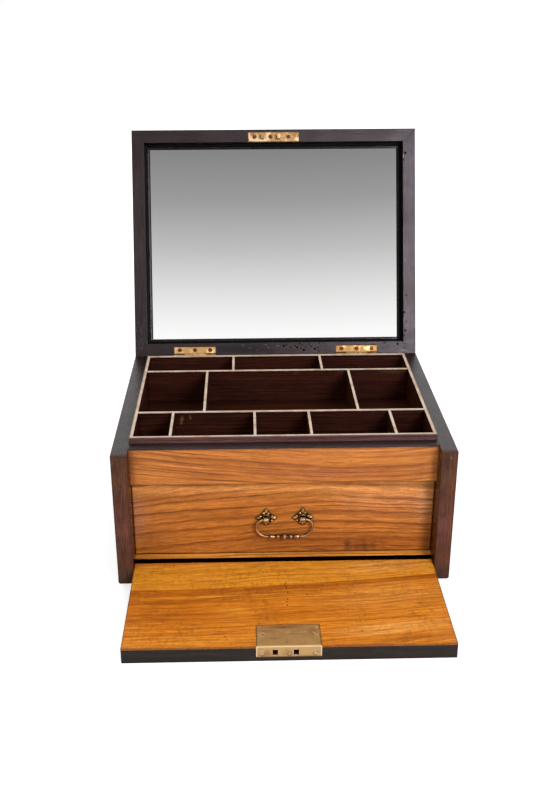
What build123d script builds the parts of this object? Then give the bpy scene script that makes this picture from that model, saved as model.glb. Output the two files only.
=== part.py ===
from build123d import *

import os
from math import cos, hypot, radians, sin

os.makedirs("parts", exist_ok=True)

# A vanity box with a hinged lid, a lift-out tray, a drawer and a fall front.
# Millimetres. The origin is the centre of the case's underside, +Z is up and the
# front faces -Y. Everything is drawn with the lid open, the fall front down, the
# drawer shut and the tray in its well.

# ---------------------------------------------------------------- case sizes
CASE_WIDTH = 300.0
CASE_DEPTH = 238.0
CASE_HEIGHT = 128.7
SIDE_THICKNESS = 14.0
BACK_THICKNESS = 13.3
BASE_THICKNESS = 16.0
BASE_SLIP_WIDTH = 10.0
LIPPING_DEPTH = 4.0
EDGE_ROUND = 2.0
FRONT_BOARD_HEIGHT = 36.0
FRONT_BOARD_THICKNESS = 10.25
RIM_BAND = 1.6
FACING_THICKNESS = 1.5
WELL_FLOOR_THICKNESS = 4.0
HOUSING_DEPTH = 3.0

# ----------------------------------------------------------------- lid sizes
OPEN_ANGLE = 110.0
LID_DEPTH = 32.0
LID_RAIL_WIDTH = 13.0
LID_PANEL_THICKNESS = 8.0
LID_REBATE_WIDTH = 7.0
MIRROR_SETBACK = 16.0
MIRROR_THICKNESS = 3.0
MIRROR_BEVEL_WIDTH = 4.6
MIRROR_BEVEL_DEPTH = 0.7
MOULDING_WIDTH = 2.8
MOULDING_HEIGHT = 4.0

# ---------------------------------------------------------- fall front sizes
FALL_THICKNESS = 14.0
FALL_LINING_THICKNESS = 1.5
FALL_TAIL = 6.1
FALL_INNER_ROUND = 3.0
FALL_OUTER_ROUND = 6.0
PIVOT_OFFSET = 7.1
PIVOT_PIN_RADIUS = 1.5
PIVOT_PIN_IN_SIDE = 6.0
PIVOT_PIN_IN_FALL = 8.0

# --------------------------------------------------------------- drawer sizes
HANDLE_RECESS = 8.3
DRAWER_FRONT_THICKNESS = 12.5
DRAWER_SIDE_THICKNESS = 8.0
DRAWER_SIDE_DROP = 3.0
DRAWER_LAP = 6.0
DRAWER_BOTTOM_THICKNESS = 4.0
DRAWER_BOTTOM_RAISE = 3.0
DRAWER_BACK_GAP = 2.0

# -------------------------------------------------------------- handle sizes
HANDLE_HEIGHT = 53.5
POST_SPACING = 33.0
HANDLE_CENTRE = 0.7
POST_RADIUS = 1.9
POST_EYE_RADIUS = 2.3
POST_EYE_LENGTH = 4.4
POST_THREAD_RADIUS = 1.3
NUT_ACROSS_FLATS = 5.0
NUT_THICKNESS = 2.4
ROSETTE_RADIUS = 10.4
ROSETTE_LEAF_RADIUS = 8.0
ROSETTE_WAIST_RADIUS = 5.4
ROSETTE_THICKNESS = 1.3
ROSETTE_BOSS_RADIUS = 4.2
ROSETTE_BOSS_HEIGHT = 0.6
BAIL_STANDOFF = 4.5
BAIL_WIRE_RADIUS = 1.05
BAIL_SHOULDER_RADIUS = 6.5
BAIL_CORNER_RADIUS = 11.0
BAIL_SHOULDER_RUN = 2.6
BAIL_PINTLE = 1.6
BAIL_BEAD_RADII = (2.65, 2.05)
BAIL_BEAD_PITCH = 5.6
BAIL_BALUSTER_RADIUS = 1.75
BAIL_BALUSTER_LENGTH = 5.2

# ---------------------------------------------------------------- tray sizes
TRAY_PROUD = 5.5
TRAY_WALL = 3.0
TRAY_FLOOR_THICKNESS = 3.0
TRAY_DIVIDER = 2.4
TRAY_CAPPING = 0.8
TRAY_LONG_DIVIDERS = (-39.5, 62.0)
TRAY_FRONT_ROW_DIVIDERS = (-100.0, -25.0, 25.0, 100.0)
TRAY_MIDDLE_ROW_DIVIDERS = (-71.5, 71.5)
TRAY_BACK_ROW_DIVIDERS = (-45.2, 45.2)

# --------------------------------------------------------------- hinge sizes
HINGE_LENGTH = 45.0
HINGE_CENTRE = 86.5
HINGE_LEAF_WIDTH = 9.6
HINGE_LEAF_THICKNESS = 1.5
HINGE_KNUCKLE_RADIUS = 2.1
HINGE_END_KNUCKLE = 11.0
HINGE_PIN_RADIUS = 0.9
HINGE_SCREW_SPACING = 16.2
HINGE_SCREW_REACH = 5.9

# ---------------------------------------------------------------- lock sizes
LOCK_WIDTH = 53.0
LOCK_DEPTH = 29.0
LOCK_CENTRE = -0.6
LOCK_COVER_THICKNESS = 1.5
LOCK_SELVEDGE_WIDTH = 10.4
LOCK_SELVEDGE_THICKNESS = 1.5
LOCK_CAP_WIDTH = 38.0
LOCK_CAP_DEPTH = 24.0
LOCK_CAP_HEIGHT = 9.4
LOCK_CAP_WALL = 1.0
SOCKET_PITCH = 17.0
SOCKET_CENTRE = -3.2
SOCKET_DROP = 5.9
SOCKET_WIDTH = 4.4
SOCKET_HEIGHT = 5.2
COVER_SCREW_SPAN = 46.6
SELVEDGE_SCREW_SPAN = 44.0
BOLT_LENGTH = 27.0
BOLT_WIDTH = 7.8
BOLT_THICKNESS = 1.4
BOLT_TRAVEL = 2.0
BOLT_TAIL_WIDTH = 9.0
BOLT_TAIL_LENGTH = 7.5
BOLT_TALON_RADIUS = 2.4
KEY_PIN_RADIUS = 1.1
KEY_BACKSET = 14.0
KEYHOLE_RADIUS = 2.5
KEYHOLE_SLOT_WIDTH = 2.2
KEYHOLE_SLOT_LENGTH = 6.6
ESCUTCHEON_MARGIN = 1.6
ESCUTCHEON_THICKNESS = 1.0
HOOK_LENGTH = 7.4
HOOK_THICKNESS = 3.4
HOOK_WIDTH = 4.2
HOOK_NOTCH = 1.8
HOOK_NOTCH_HEIGHT = 2.0
LINK_PLATE_WIDTH = 54.2
LINK_PLATE_CENTRE = -0.1
LINK_PLATE_HEIGHT = 10.4
LINK_PLATE_THICKNESS = 1.5
LINK_SCREW_PLACES = (-20.2, -3.4, 15.7)

# -------------------------------------------------------------- screw sizes
SCREW_HEAD_RADIUS = 2.2
SCREW_HEAD_DEPTH = 1.3
SCREW_SHANK_RADIUS = 1.1
SCREW_LENGTH = 8.0
SCREW_SLOT_WIDTH = 0.6
SCREW_SLOT_DEPTH = 0.45

# --------------------------------------------------------------- clearances
RIM_GAP = 0.2
FALL_SIDE_GAP = 0.4
FALL_FACE_GAP = 0.25
FALL_TOP_GAP = 0.3
SWEEP_GAP = 0.3
DRAWER_SIDE_GAP = 0.4
DRAWER_FACE_GAP = 0.5
DRAWER_RUNNER_GAP = 0.3
TRAY_GAP = 0.3
MIRROR_EDGE_GAP = 0.3
FIT_GAP = 0.05
LOCK_GAP = 0.3
BOLT_WINDOW_GAP = 0.4

# ------------------------------------------------------------ derived places
HALF_WIDTH = CASE_WIDTH / 2
FRONT = -CASE_DEPTH / 2
BACK = CASE_DEPTH / 2
RIM = CASE_HEIGHT
INNER_HALF = HALF_WIDTH - SIDE_THICKNESS
BACK_INNER = BACK - BACK_THICKNESS

BOARD_FACE = FRONT + FALL_THICKNESS + FALL_FACE_GAP
BOARD_BACK = BOARD_FACE + FRONT_BOARD_THICKNESS
WELL_FLOOR_BOTTOM = RIM - FRONT_BOARD_HEIGHT
WELL_FLOOR_TOP = WELL_FLOOR_BOTTOM + WELL_FLOOR_THICKNESS

PIVOT_Y = FRONT + PIVOT_OFFSET
PIVOT_Z = PIVOT_OFFSET
FALL_EDGE = PIVOT_Y - (RIM - FALL_TOP_GAP - PIVOT_Z)
FALL_HEEL = PIVOT_Y + FALL_TAIL
FALL_HALF = INNER_HALF - FALL_SIDE_GAP
FALL_LINING_BOTTOM = FALL_THICKNESS - FALL_LINING_THICKNESS
FALL_SWEEP = FALL_INNER_ROUND + hypot(
    FALL_TAIL - FALL_INNER_ROUND, FALL_THICKNESS - PIVOT_Z - FALL_INNER_ROUND)
BASE_FRONT = PIVOT_Y + FALL_SWEEP + SWEEP_GAP

DRAWER_FACE = BOARD_FACE + HANDLE_RECESS
DRAWER_FRONT_BACK = DRAWER_FACE + DRAWER_FRONT_THICKNESS
DRAWER_HALF = INNER_HALF - DRAWER_SIDE_GAP
DRAWER_FRONT_BOTTOM = BASE_THICKNESS + DRAWER_FACE_GAP
DRAWER_FRONT_TOP = WELL_FLOOR_BOTTOM - DRAWER_FACE_GAP
DRAWER_BOTTOM_FACE = BASE_THICKNESS + DRAWER_RUNNER_GAP
DRAWER_SIDE_TOP = DRAWER_FRONT_TOP - DRAWER_SIDE_DROP
DRAWER_END = BACK_INNER - DRAWER_BACK_GAP
DRAWER_PANEL_BOTTOM = DRAWER_BOTTOM_FACE + DRAWER_BOTTOM_RAISE
DRAWER_PANEL_TOP = DRAWER_PANEL_BOTTOM + DRAWER_BOTTOM_THICKNESS
BAIL_Y = DRAWER_FACE - BAIL_STANDOFF

TRAY_HALF = INNER_HALF - TRAY_GAP
TRAY_FRONT = BOARD_BACK + TRAY_GAP
TRAY_BACK = BACK_INNER - TRAY_GAP
TRAY_BOTTOM = WELL_FLOOR_TOP + TRAY_GAP
TRAY_FLOOR_TOP = TRAY_BOTTOM + TRAY_FLOOR_THICKNESS
TRAY_TOP = RIM + TRAY_PROUD
TRAY_WALL_TOP = TRAY_TOP - TRAY_CAPPING

FALL_SOCKET_Z = FALL_THICKNESS - SOCKET_DROP
SELVEDGE_BACK = FALL_EDGE + LOCK_SELVEDGE_THICKNESS
COVER_BOTTOM = FALL_THICKNESS - LOCK_COVER_THICKNESS
CAP_BOTTOM = COVER_BOTTOM - LOCK_CAP_HEIGHT
CAP_BACK = SELVEDGE_BACK + LOCK_CAP_DEPTH
BOLT_FRONT = SELVEDGE_BACK + LOCK_GAP
BOLT_BACK = BOLT_FRONT + BOLT_THICKNESS
BOLT_TOP = COVER_BOTTOM - LOCK_GAP
BOLT_BOTTOM = BOLT_TOP - BOLT_WIDTH
BOLT_DEPTH_FROM_LID = FALL_TOP_GAP + BOLT_FRONT - FALL_EDGE
KEY_Y = FALL_EDGE + KEY_BACKSET
SOCKETS = [SOCKET_CENTRE - SOCKET_PITCH / 2, SOCKET_CENTRE + SOCKET_PITCH / 2]

# The lid's own plane: x across the box, y from the hinge line to the front edge,
# z out of the open lid. A depth is measured from the rim into the lid.
LID_PLANE = Plane(
    origin=(0, BACK, RIM),
    x_dir=(1, 0, 0),
    z_dir=(0, -sin(radians(OPEN_ANGLE)), -cos(radians(OPEN_ANGLE))))
LID_HOLLOW_BACK = LID_DEPTH - LID_PANEL_THICKNESS
LID_OPENING_HALF = HALF_WIDTH - LID_RAIL_WIDTH
LID_OPENING_NEAR = LID_RAIL_WIDTH
LID_OPENING_FAR = CASE_DEPTH - LID_RAIL_WIDTH
LINK_PLATE_NEAR = LID_OPENING_FAR
LINK_PLATE_FAR = LID_OPENING_FAR + LINK_PLATE_HEIGHT
HOOK_Y = CASE_DEPTH - FALL_SOCKET_Z
HINGES = {"left": -HINGE_CENTRE, "right": HINGE_CENTRE}
SIDES = {"left": -1, "right": 1}
TOP = (Align.CENTER, Align.CENTER, Align.MAX)
MIDDLE = (Align.CENTER, Align.CENTER, Align.CENTER)


# ------------------------------------------------------------------- helpers
def save(piece, label):
    """Label a finished piece and write its STEP file."""
    piece.part.label = label
    export_step(piece.part, f"parts/{label}.step")


def block(x_range, y_range, z_range, mode=Mode.ADD):
    """A box between two limits on each axis."""
    corner = (x_range[0], y_range[0], z_range[0])
    with Locations(corner):
        Box(x_range[1] - x_range[0], y_range[1] - y_range[0], z_range[1] - z_range[0],
            align=(Align.MIN, Align.MIN, Align.MIN), mode=mode)


def both_ways(half):
    """Limits of a length centred on the middle of the box."""
    return (-half, half)


def beside(sign, inner, outer):
    """Limits of a band on one side of the box, low end first."""
    return tuple(sorted((sign * inner, sign * outer)))


def around(centre, length):
    """Limits of a length centred on a place."""
    return (centre - length / 2, centre + length / 2)


def lid_level(depth):
    """The plane at a depth inside the lid."""
    return LID_PLANE.offset(-depth)


def lid_block(x_range, y_range, depths, mode=Mode.ADD):
    """A box drawn on the lid's plane, between two depths below its rim."""
    with BuildSketch(lid_level(depths[1])) as outline:
        with Locations((x_range[0], y_range[0])):
            Rectangle(x_range[1] - x_range[0], y_range[1] - y_range[0],
                      align=(Align.MIN, Align.MIN))
    extrude(outline.sketch, amount=depths[1] - depths[0], mode=mode)


def cross_cylinder(radius, centre_x, length, y, z, mode=Mode.ADD):
    """A cylinder whose axis runs across the box."""
    with Locations(Location((centre_x, y, z), (0, 90, 0))):
        Cylinder(radius, length, align=MIDDLE, mode=mode)


def add_screws(places):
    """Slotted countersunk screws whose heads are flush with the given planes."""
    with Locations(*places):
        Cone(SCREW_SHANK_RADIUS, SCREW_HEAD_RADIUS, SCREW_HEAD_DEPTH, align=TOP)
        Cylinder(SCREW_SHANK_RADIUS, SCREW_LENGTH, align=TOP)
        Box(3 * SCREW_HEAD_RADIUS, SCREW_SLOT_WIDTH, SCREW_SLOT_DEPTH, align=TOP,
            mode=Mode.SUBTRACT)


def cut_screw_seats(places):
    """Countersunk holes that the screws at the same places sit in."""
    with Locations(*places):
        Cone(SCREW_SHANK_RADIUS + FIT_GAP, SCREW_HEAD_RADIUS + FIT_GAP, SCREW_HEAD_DEPTH,
             align=TOP, mode=Mode.SUBTRACT)
        Cylinder(SCREW_SHANK_RADIUS + FIT_GAP, SCREW_LENGTH + FIT_GAP, align=TOP,
                 mode=Mode.SUBTRACT)


def hinge_screw_places(plane, reach_sign):
    """Screw planes of both hinges on one leaf's face."""
    return [
        plane * Location((centre + step * HINGE_SCREW_SPACING, reach_sign * HINGE_SCREW_REACH, 0))
        for centre in HINGES.values() for step in (-1, 0, 1)]


CASE_LEAF_PLANE = Plane(origin=(0, BACK, RIM))
CASE_HINGE_SCREWS = hinge_screw_places(CASE_LEAF_PLANE.location, -1)
LID_HINGE_SCREWS = hinge_screw_places(lid_level(RIM_GAP).location, 1)
LINK_SCREWS = [
    lid_level(RIM_GAP).location
    * Location((x, LINK_PLATE_NEAR + LINK_PLATE_HEIGHT / 2, 0))
    for x in LINK_SCREW_PLACES]
LOCK_SCREWS = [
    Location((LOCK_CENTRE + sign * COVER_SCREW_SPAN / 2, FALL_EDGE + LOCK_DEPTH / 2,
              FALL_THICKNESS))
    for sign in (-1, 1)] + [
    Location((LOCK_CENTRE + sign * SELVEDGE_SCREW_SPAN / 2, FALL_EDGE, FALL_SOCKET_Z),
             (90, 0, 0))
    for sign in (-1, 1)]


def cut_hinge_seats(plane, leaf_depths, reach_sign):
    """Room in a board for both hinges' leaves and their shared knuckles."""
    for centre in HINGES.values():
        with BuildSketch(plane.offset(-leaf_depths[1])) as outline:
            with Locations((centre, reach_sign * HINGE_LEAF_WIDTH / 2)):
                Rectangle(HINGE_LENGTH, HINGE_LEAF_WIDTH)
        extrude(outline.sketch, amount=leaf_depths[1], mode=Mode.SUBTRACT)
        cross_cylinder(HINGE_KNUCKLE_RADIUS + RIM_GAP, centre, HINGE_LENGTH, BACK, RIM,
                       mode=Mode.SUBTRACT)


def hinge_leaf(plane, depths, centre, reach_sign, knuckles):
    """One leaf: a flat plate cut away beside the other leaf's knuckles, and its own."""
    root = HINGE_KNUCKLE_RADIUS + RIM_GAP
    with BuildSketch(plane.offset(-depths[1])) as outline:
        with Locations((centre, reach_sign * (root + HINGE_LEAF_WIDTH) / 2)):
            Rectangle(HINGE_LENGTH, HINGE_LEAF_WIDTH - root)
        for middle, length in knuckles:
            with Locations((centre + middle, reach_sign * root / 2)):
                Rectangle(length, root)
    extrude(outline.sketch, amount=depths[1] - depths[0])
    for middle, length in knuckles:
        cross_cylinder(HINGE_KNUCKLE_RADIUS, centre + middle, length, BACK, RIM)
    cross_cylinder(HINGE_PIN_RADIUS + FIT_GAP, centre, HINGE_LENGTH + 1, BACK, RIM,
                   mode=Mode.SUBTRACT)


END_KNUCKLES = [
    (sign * (HINGE_LENGTH - HINGE_END_KNUCKLE) / 2, HINGE_END_KNUCKLE) for sign in (-1, 1)]
MIDDLE_KNUCKLE = [(0, HINGE_LENGTH - 2 * HINGE_END_KNUCKLE - 2 * RIM_GAP)]

# ---------------------------------------------------------------- case boards
for name, sign in SIDES.items():
    with BuildPart() as side:
        block(beside(sign, INNER_HALF, HALF_WIDTH), (FRONT + LIPPING_DEPTH, BACK), (0, RIM))
        outer_bottom = side.edges().filter_by(Axis.Y).group_by(Axis.Z)[0]
        fillet(outer_bottom.sort_by(Axis.X)[0 if sign < 0 else -1], EDGE_ROUND)
        block(beside(sign, INNER_HALF, INNER_HALF + HOUSING_DEPTH),
              (BOARD_BACK, BACK_INNER + HOUSING_DEPTH), (WELL_FLOOR_BOTTOM, WELL_FLOOR_TOP),
              mode=Mode.SUBTRACT)
        cross_cylinder(PIVOT_PIN_RADIUS + FIT_GAP, sign * INNER_HALF, 2 * PIVOT_PIN_IN_SIDE,
                       PIVOT_Y, PIVOT_Z, mode=Mode.SUBTRACT)
    save(side, f"side_{name}")

    with BuildPart() as lipping:
        block(beside(sign, INNER_HALF, HALF_WIDTH), (FRONT, FRONT + LIPPING_DEPTH), (0, RIM))
        outer_bottom = lipping.edges().filter_by(Axis.Y).group_by(Axis.Z)[0]
        fillet(outer_bottom.sort_by(Axis.X)[0 if sign < 0 else -1], EDGE_ROUND)
    save(lipping, f"side_lipping_{name}")

with BuildPart() as back_board:
    block(both_ways(INNER_HALF), (BACK_INNER, BACK), (0, RIM))
    block(both_ways(INNER_HALF), (BACK_INNER, BACK_INNER + HOUSING_DEPTH),
          (WELL_FLOOR_BOTTOM, WELL_FLOOR_TOP), mode=Mode.SUBTRACT)
    cut_hinge_seats(CASE_LEAF_PLANE, (0, HINGE_LEAF_THICKNESS), -1)
    cut_screw_seats(CASE_HINGE_SCREWS)
save(back_board, "back_board")

# The front board's dark core carries a narrow band over the top of its facing.
with BuildPart() as front_board:
    block(both_ways(INNER_HALF), (BOARD_FACE + FACING_THICKNESS, BOARD_BACK),
          (WELL_FLOOR_BOTTOM, RIM))
    block(both_ways(INNER_HALF), (BOARD_FACE, BOARD_FACE + FACING_THICKNESS),
          (RIM - RIM_BAND, RIM))
save(front_board, "front_board")

with BuildPart() as front_facing:
    block(both_ways(INNER_HALF), (BOARD_FACE, BOARD_FACE + FACING_THICKNESS),
          (WELL_FLOOR_BOTTOM, RIM - RIM_BAND))
save(front_facing, "front_board_facing")

with BuildPart() as base_board:
    block(both_ways(INNER_HALF), (BASE_FRONT + BASE_SLIP_WIDTH, BACK_INNER),
          (0, BASE_THICKNESS))
save(base_board, "base_board")

with BuildPart() as base_slip:
    block(both_ways(INNER_HALF), (BASE_FRONT, BASE_FRONT + BASE_SLIP_WIDTH),
          (0, BASE_THICKNESS))
save(base_slip, "base_front_slip")

with BuildPart() as well_floor:
    block(both_ways(INNER_HALF + HOUSING_DEPTH), (BOARD_BACK, BACK_INNER + HOUSING_DEPTH),
          (WELL_FLOOR_BOTTOM, WELL_FLOOR_TOP))
save(well_floor, "well_floor")

# --------------------------------------------------------------- case hardware
for name, centre in HINGES.items():
    with BuildPart() as case_leaf:
        hinge_leaf(CASE_LEAF_PLANE, (0, HINGE_LEAF_THICKNESS), centre, -1, END_KNUCKLES)
        cut_screw_seats(CASE_HINGE_SCREWS)
    save(case_leaf, f"hinge_case_leaf_{name}")

with BuildPart() as hinge_pins:
    for centre in HINGES.values():
        cross_cylinder(HINGE_PIN_RADIUS, centre, HINGE_LENGTH, BACK, RIM)
save(hinge_pins, "hinge_pins")

with BuildPart() as hinge_case_screws:
    add_screws(CASE_HINGE_SCREWS)
save(hinge_case_screws, "hinge_case_screws")

with BuildPart() as fall_pivot_pins:
    pin_length = PIVOT_PIN_IN_SIDE + FALL_SIDE_GAP + PIVOT_PIN_IN_FALL
    pin_middle = INNER_HALF + PIVOT_PIN_IN_SIDE - pin_length / 2
    for sign in SIDES.values():
        cross_cylinder(PIVOT_PIN_RADIUS, sign * pin_middle, pin_length, PIVOT_Y, PIVOT_Z)
save(fall_pivot_pins, "fall_pivot_pins")


# ------------------------------------------------------------------------ lid
def rail_outline(rail, width):
    """Corners of one mitred rail of the given width, on the lid's plane."""
    far, near = CASE_DEPTH, 0
    corners = {
        "back": ((-1, near, 1), (1, near, 1)),
        "right": ((1, near, 1), (1, far, -1)),
        "front": ((1, far, -1), (-1, far, -1)),
        "left": ((-1, far, -1), (-1, near, 1)),
    }[rail]
    outer = [(sign * HALF_WIDTH, y) for sign, y, _ in corners]
    inner = [(sign * (HALF_WIDTH - width), y + inward * width) for sign, y, inward in corners]
    return outer + inner[::-1]


RAIL_TOP_MIDDLES = {
    "back": (0, 0),
    "front": (0, CASE_DEPTH),
    "left": (-HALF_WIDTH, CASE_DEPTH / 2),
    "right": (HALF_WIDTH, CASE_DEPTH / 2),
}
for rail_name, (x, y) in RAIL_TOP_MIDDLES.items():
    with BuildPart() as rail:
        with BuildSketch(lid_level(LID_HOLLOW_BACK)):
            Polygon(*rail_outline(rail_name, LID_RAIL_WIDTH), align=None)
        extrude(amount=LID_HOLLOW_BACK - RIM_GAP)
        with BuildSketch(lid_level(LID_DEPTH)):
            Polygon(*rail_outline(rail_name, LID_RAIL_WIDTH - LID_REBATE_WIDTH), align=None)
        extrude(amount=LID_PANEL_THICKNESS)
        top_edge = lid_level(LID_DEPTH).from_local_coords(Vector(x, y, 0))
        fillet(rail.edges().sort_by_distance(top_edge)[0], EDGE_ROUND)
        if rail_name == "back":
            cut_hinge_seats(LID_PLANE, (0, RIM_GAP + HINGE_LEAF_THICKNESS), 1)
            cut_screw_seats(LID_HINGE_SCREWS)
        if rail_name == "front":
            lid_block(around(LINK_PLATE_CENTRE, LINK_PLATE_WIDTH),
                      (LINK_PLATE_NEAR, LINK_PLATE_FAR),
                      (0, RIM_GAP + LINK_PLATE_THICKNESS), mode=Mode.SUBTRACT)
            cut_screw_seats(LINK_SCREWS)
    save(rail, f"lid_rail_{rail_name}")

panel_inset = LID_RAIL_WIDTH - LID_REBATE_WIDTH
with BuildPart() as lid_panel:
    lid_block(both_ways(HALF_WIDTH - panel_inset), (panel_inset, CASE_DEPTH - panel_inset),
              (LID_HOLLOW_BACK, LID_DEPTH))
save(lid_panel, "lid_panel")

mirror_half = LID_OPENING_HALF - MIRROR_EDGE_GAP
mirror_span = (LID_OPENING_NEAR + MIRROR_EDGE_GAP, LID_OPENING_FAR - MIRROR_EDGE_GAP)
mirror_back = MIRROR_SETBACK + MIRROR_THICKNESS
with BuildPart() as mirror_glass:
    bevel_foot = MIRROR_SETBACK + MIRROR_BEVEL_DEPTH
    lid_block(both_ways(mirror_half), mirror_span, (bevel_foot, mirror_back))
    for depth, inset in ((bevel_foot, 0), (MIRROR_SETBACK, MIRROR_BEVEL_WIDTH)):
        with BuildSketch(lid_level(depth)):
            with Locations((0, CASE_DEPTH / 2)):
                Rectangle(2 * (mirror_half - inset), mirror_span[1] - mirror_span[0] - 2 * inset)
    loft()
save(mirror_glass, "mirror_glass")

with BuildPart() as mirror_backboard:
    lid_block(both_ways(mirror_half), mirror_span, (mirror_back, LID_HOLLOW_BACK))
save(mirror_backboard, "mirror_backboard")


def moulding_strip(start, inward, along, length):
    """One mitred strip of quarter-round moulding against the inside of a rail.

    start is the strip's outer corner on the lid's plane, inward points to the
    mirror's middle, along runs down the rail, and length is the outer length.
    """
    corner = lid_level(MIRROR_SETBACK).from_local_coords(Vector(*start, 0))
    axis_in = LID_PLANE.x_dir * inward[0] + LID_PLANE.y_dir * inward[1]
    axis_along = LID_PLANE.x_dir * along[0] + LID_PLANE.y_dir * along[1]
    with BuildSketch(Plane(origin=corner, x_dir=axis_in, z_dir=axis_along)) as profile:
        turned = profile.workplanes[0].y_dir.dot(LID_PLANE.z_dir)
        with BuildLine():
            Line((0, 0), (0, turned * MOULDING_HEIGHT))
            ThreePointArc((0, turned * MOULDING_HEIGHT),
                          (0.77 * MOULDING_WIDTH, turned * 0.77 * MOULDING_HEIGHT),
                          (MOULDING_WIDTH, 0))
            Line((MOULDING_WIDTH, 0), (0, 0))
        make_face()
    extrude(profile.sketch, amount=length)
    for end, facing in ((0, 1), (length, -1)):
        mitre_normal = axis_along * facing - axis_in
        split(bisect_by=Plane(origin=corner + axis_along * end, z_dir=mitre_normal),
              keep=Keep.TOP)


with BuildPart() as mirror_moulding:
    strips = (
        ((-LID_OPENING_HALF, LID_OPENING_NEAR), (0, 1), (1, 0), 2 * LID_OPENING_HALF),
        ((LID_OPENING_HALF, LID_OPENING_FAR), (0, -1), (-1, 0), 2 * LID_OPENING_HALF),
        ((-LID_OPENING_HALF, LID_OPENING_FAR), (1, 0), (0, -1),
         LID_OPENING_FAR - LID_OPENING_NEAR),
        ((LID_OPENING_HALF, LID_OPENING_NEAR), (-1, 0), (0, 1),
         LID_OPENING_FAR - LID_OPENING_NEAR),
    )
    made = []
    for strip in strips:
        with BuildPart(mode=Mode.PRIVATE) as one_strip:
            moulding_strip(*strip)
        made.append(one_strip.part)
    add(made)
save(mirror_moulding, "mirror_moulding")

# --------------------------------------------------------------- lid hardware
for name, centre in HINGES.items():
    with BuildPart() as lid_leaf:
        hinge_leaf(LID_PLANE, (RIM_GAP, RIM_GAP + HINGE_LEAF_THICKNESS), centre, 1,
                   MIDDLE_KNUCKLE)
        cut_screw_seats(LID_HINGE_SCREWS)
    save(lid_leaf, f"hinge_lid_leaf_{name}")

with BuildPart() as hinge_lid_screws:
    add_screws(LID_HINGE_SCREWS)
save(hinge_lid_screws, "hinge_lid_screws")

# Two notched hooks stand out of the link plate and drop into the lock's sockets.
notch_top = BOLT_DEPTH_FROM_LID + BOLT_THICKNESS / 2 - HOOK_NOTCH_HEIGHT / 2
with BuildPart() as link_plate:
    lid_block(around(LINK_PLATE_CENTRE, LINK_PLATE_WIDTH), (LINK_PLATE_NEAR, LINK_PLATE_FAR),
              (RIM_GAP, RIM_GAP + LINK_PLATE_THICKNESS))
    for x in SOCKETS:
        lid_block(around(x, HOOK_THICKNESS), around(HOOK_Y, HOOK_WIDTH),
                  (RIM_GAP - HOOK_LENGTH, RIM_GAP))
        lid_block((x - HOOK_THICKNESS / 2, x - HOOK_THICKNESS / 2 + HOOK_NOTCH),
                  around(HOOK_Y, HOOK_WIDTH),
                  (-notch_top - HOOK_NOTCH_HEIGHT, -notch_top), mode=Mode.SUBTRACT)
    cut_screw_seats(LINK_SCREWS)
save(link_plate, "link_plate")

with BuildPart() as link_plate_screws:
    add_screws(LINK_SCREWS)
save(link_plate_screws, "link_plate_screws")


# ----------------------------------------------------------------- fall front
def fall_slab():
    """The whole fall front, rounded along its hinge edge."""
    with BuildSketch(Plane.YZ) as profile:
        with Locations((FALL_EDGE, 0)):
            Rectangle(FALL_HEEL - FALL_EDGE, FALL_THICKNESS, align=(Align.MIN, Align.MIN))
        heel = profile.vertices().group_by(Axis.X)[-1].sort_by(Axis.Y)
        fillet(heel[0], FALL_OUTER_ROUND)
        heel = profile.vertices().group_by(Axis.Y)[-1].sort_by(Axis.X)
        fillet(heel[-1], FALL_INNER_ROUND)
    extrude(profile.sketch, amount=FALL_HALF, both=True)


def cut_lock_seat():
    """Room for the lock's cover plate and its selvedge."""
    across = around(LOCK_CENTRE, LOCK_WIDTH)
    block(across, (FALL_EDGE, FALL_EDGE + LOCK_DEPTH), (COVER_BOTTOM, FALL_THICKNESS),
          mode=Mode.SUBTRACT)
    block(across, (FALL_EDGE, SELVEDGE_BACK),
          (FALL_THICKNESS - LOCK_SELVEDGE_WIDTH, FALL_THICKNESS), mode=Mode.SUBTRACT)


def keyhole(margin, top, bottom=0.0, mode=Mode.SUBTRACT):
    """A keyhole grown by a margin, between two heights, slot towards the hinge."""
    with BuildSketch(Plane.XY.offset(bottom)) as outline:
        with Locations((0, KEY_Y)):
            Circle(KEYHOLE_RADIUS + margin)
            Rectangle(KEYHOLE_SLOT_WIDTH + 2 * margin, KEYHOLE_SLOT_LENGTH + margin,
                      align=(Align.CENTER, Align.MIN))
    extrude(outline.sketch, amount=top - bottom, mode=mode)


with BuildPart() as fall_board:
    fall_slab()
    split(bisect_by=Plane.XY.offset(FALL_LINING_BOTTOM), keep=Keep.BOTTOM)
    cut_lock_seat()
    block(around(0, LOCK_CAP_WIDTH), (SELVEDGE_BACK, CAP_BACK), (CAP_BOTTOM, FALL_THICKNESS),
          mode=Mode.SUBTRACT)
    keyhole(ESCUTCHEON_MARGIN, ESCUTCHEON_THICKNESS)
    keyhole(0, FALL_THICKNESS)
    cut_screw_seats(LOCK_SCREWS)
    for sign in SIDES.values():
        cross_cylinder(PIVOT_PIN_RADIUS + FIT_GAP, sign * FALL_HALF, 2 * PIVOT_PIN_IN_FALL + 1,
                       PIVOT_Y, PIVOT_Z, mode=Mode.SUBTRACT)
save(fall_board, "fall_board")

with BuildPart() as fall_lining:
    fall_slab()
    split(bisect_by=Plane.XY.offset(FALL_LINING_BOTTOM), keep=Keep.TOP)
    cut_lock_seat()
save(fall_lining, "fall_lining")

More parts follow.
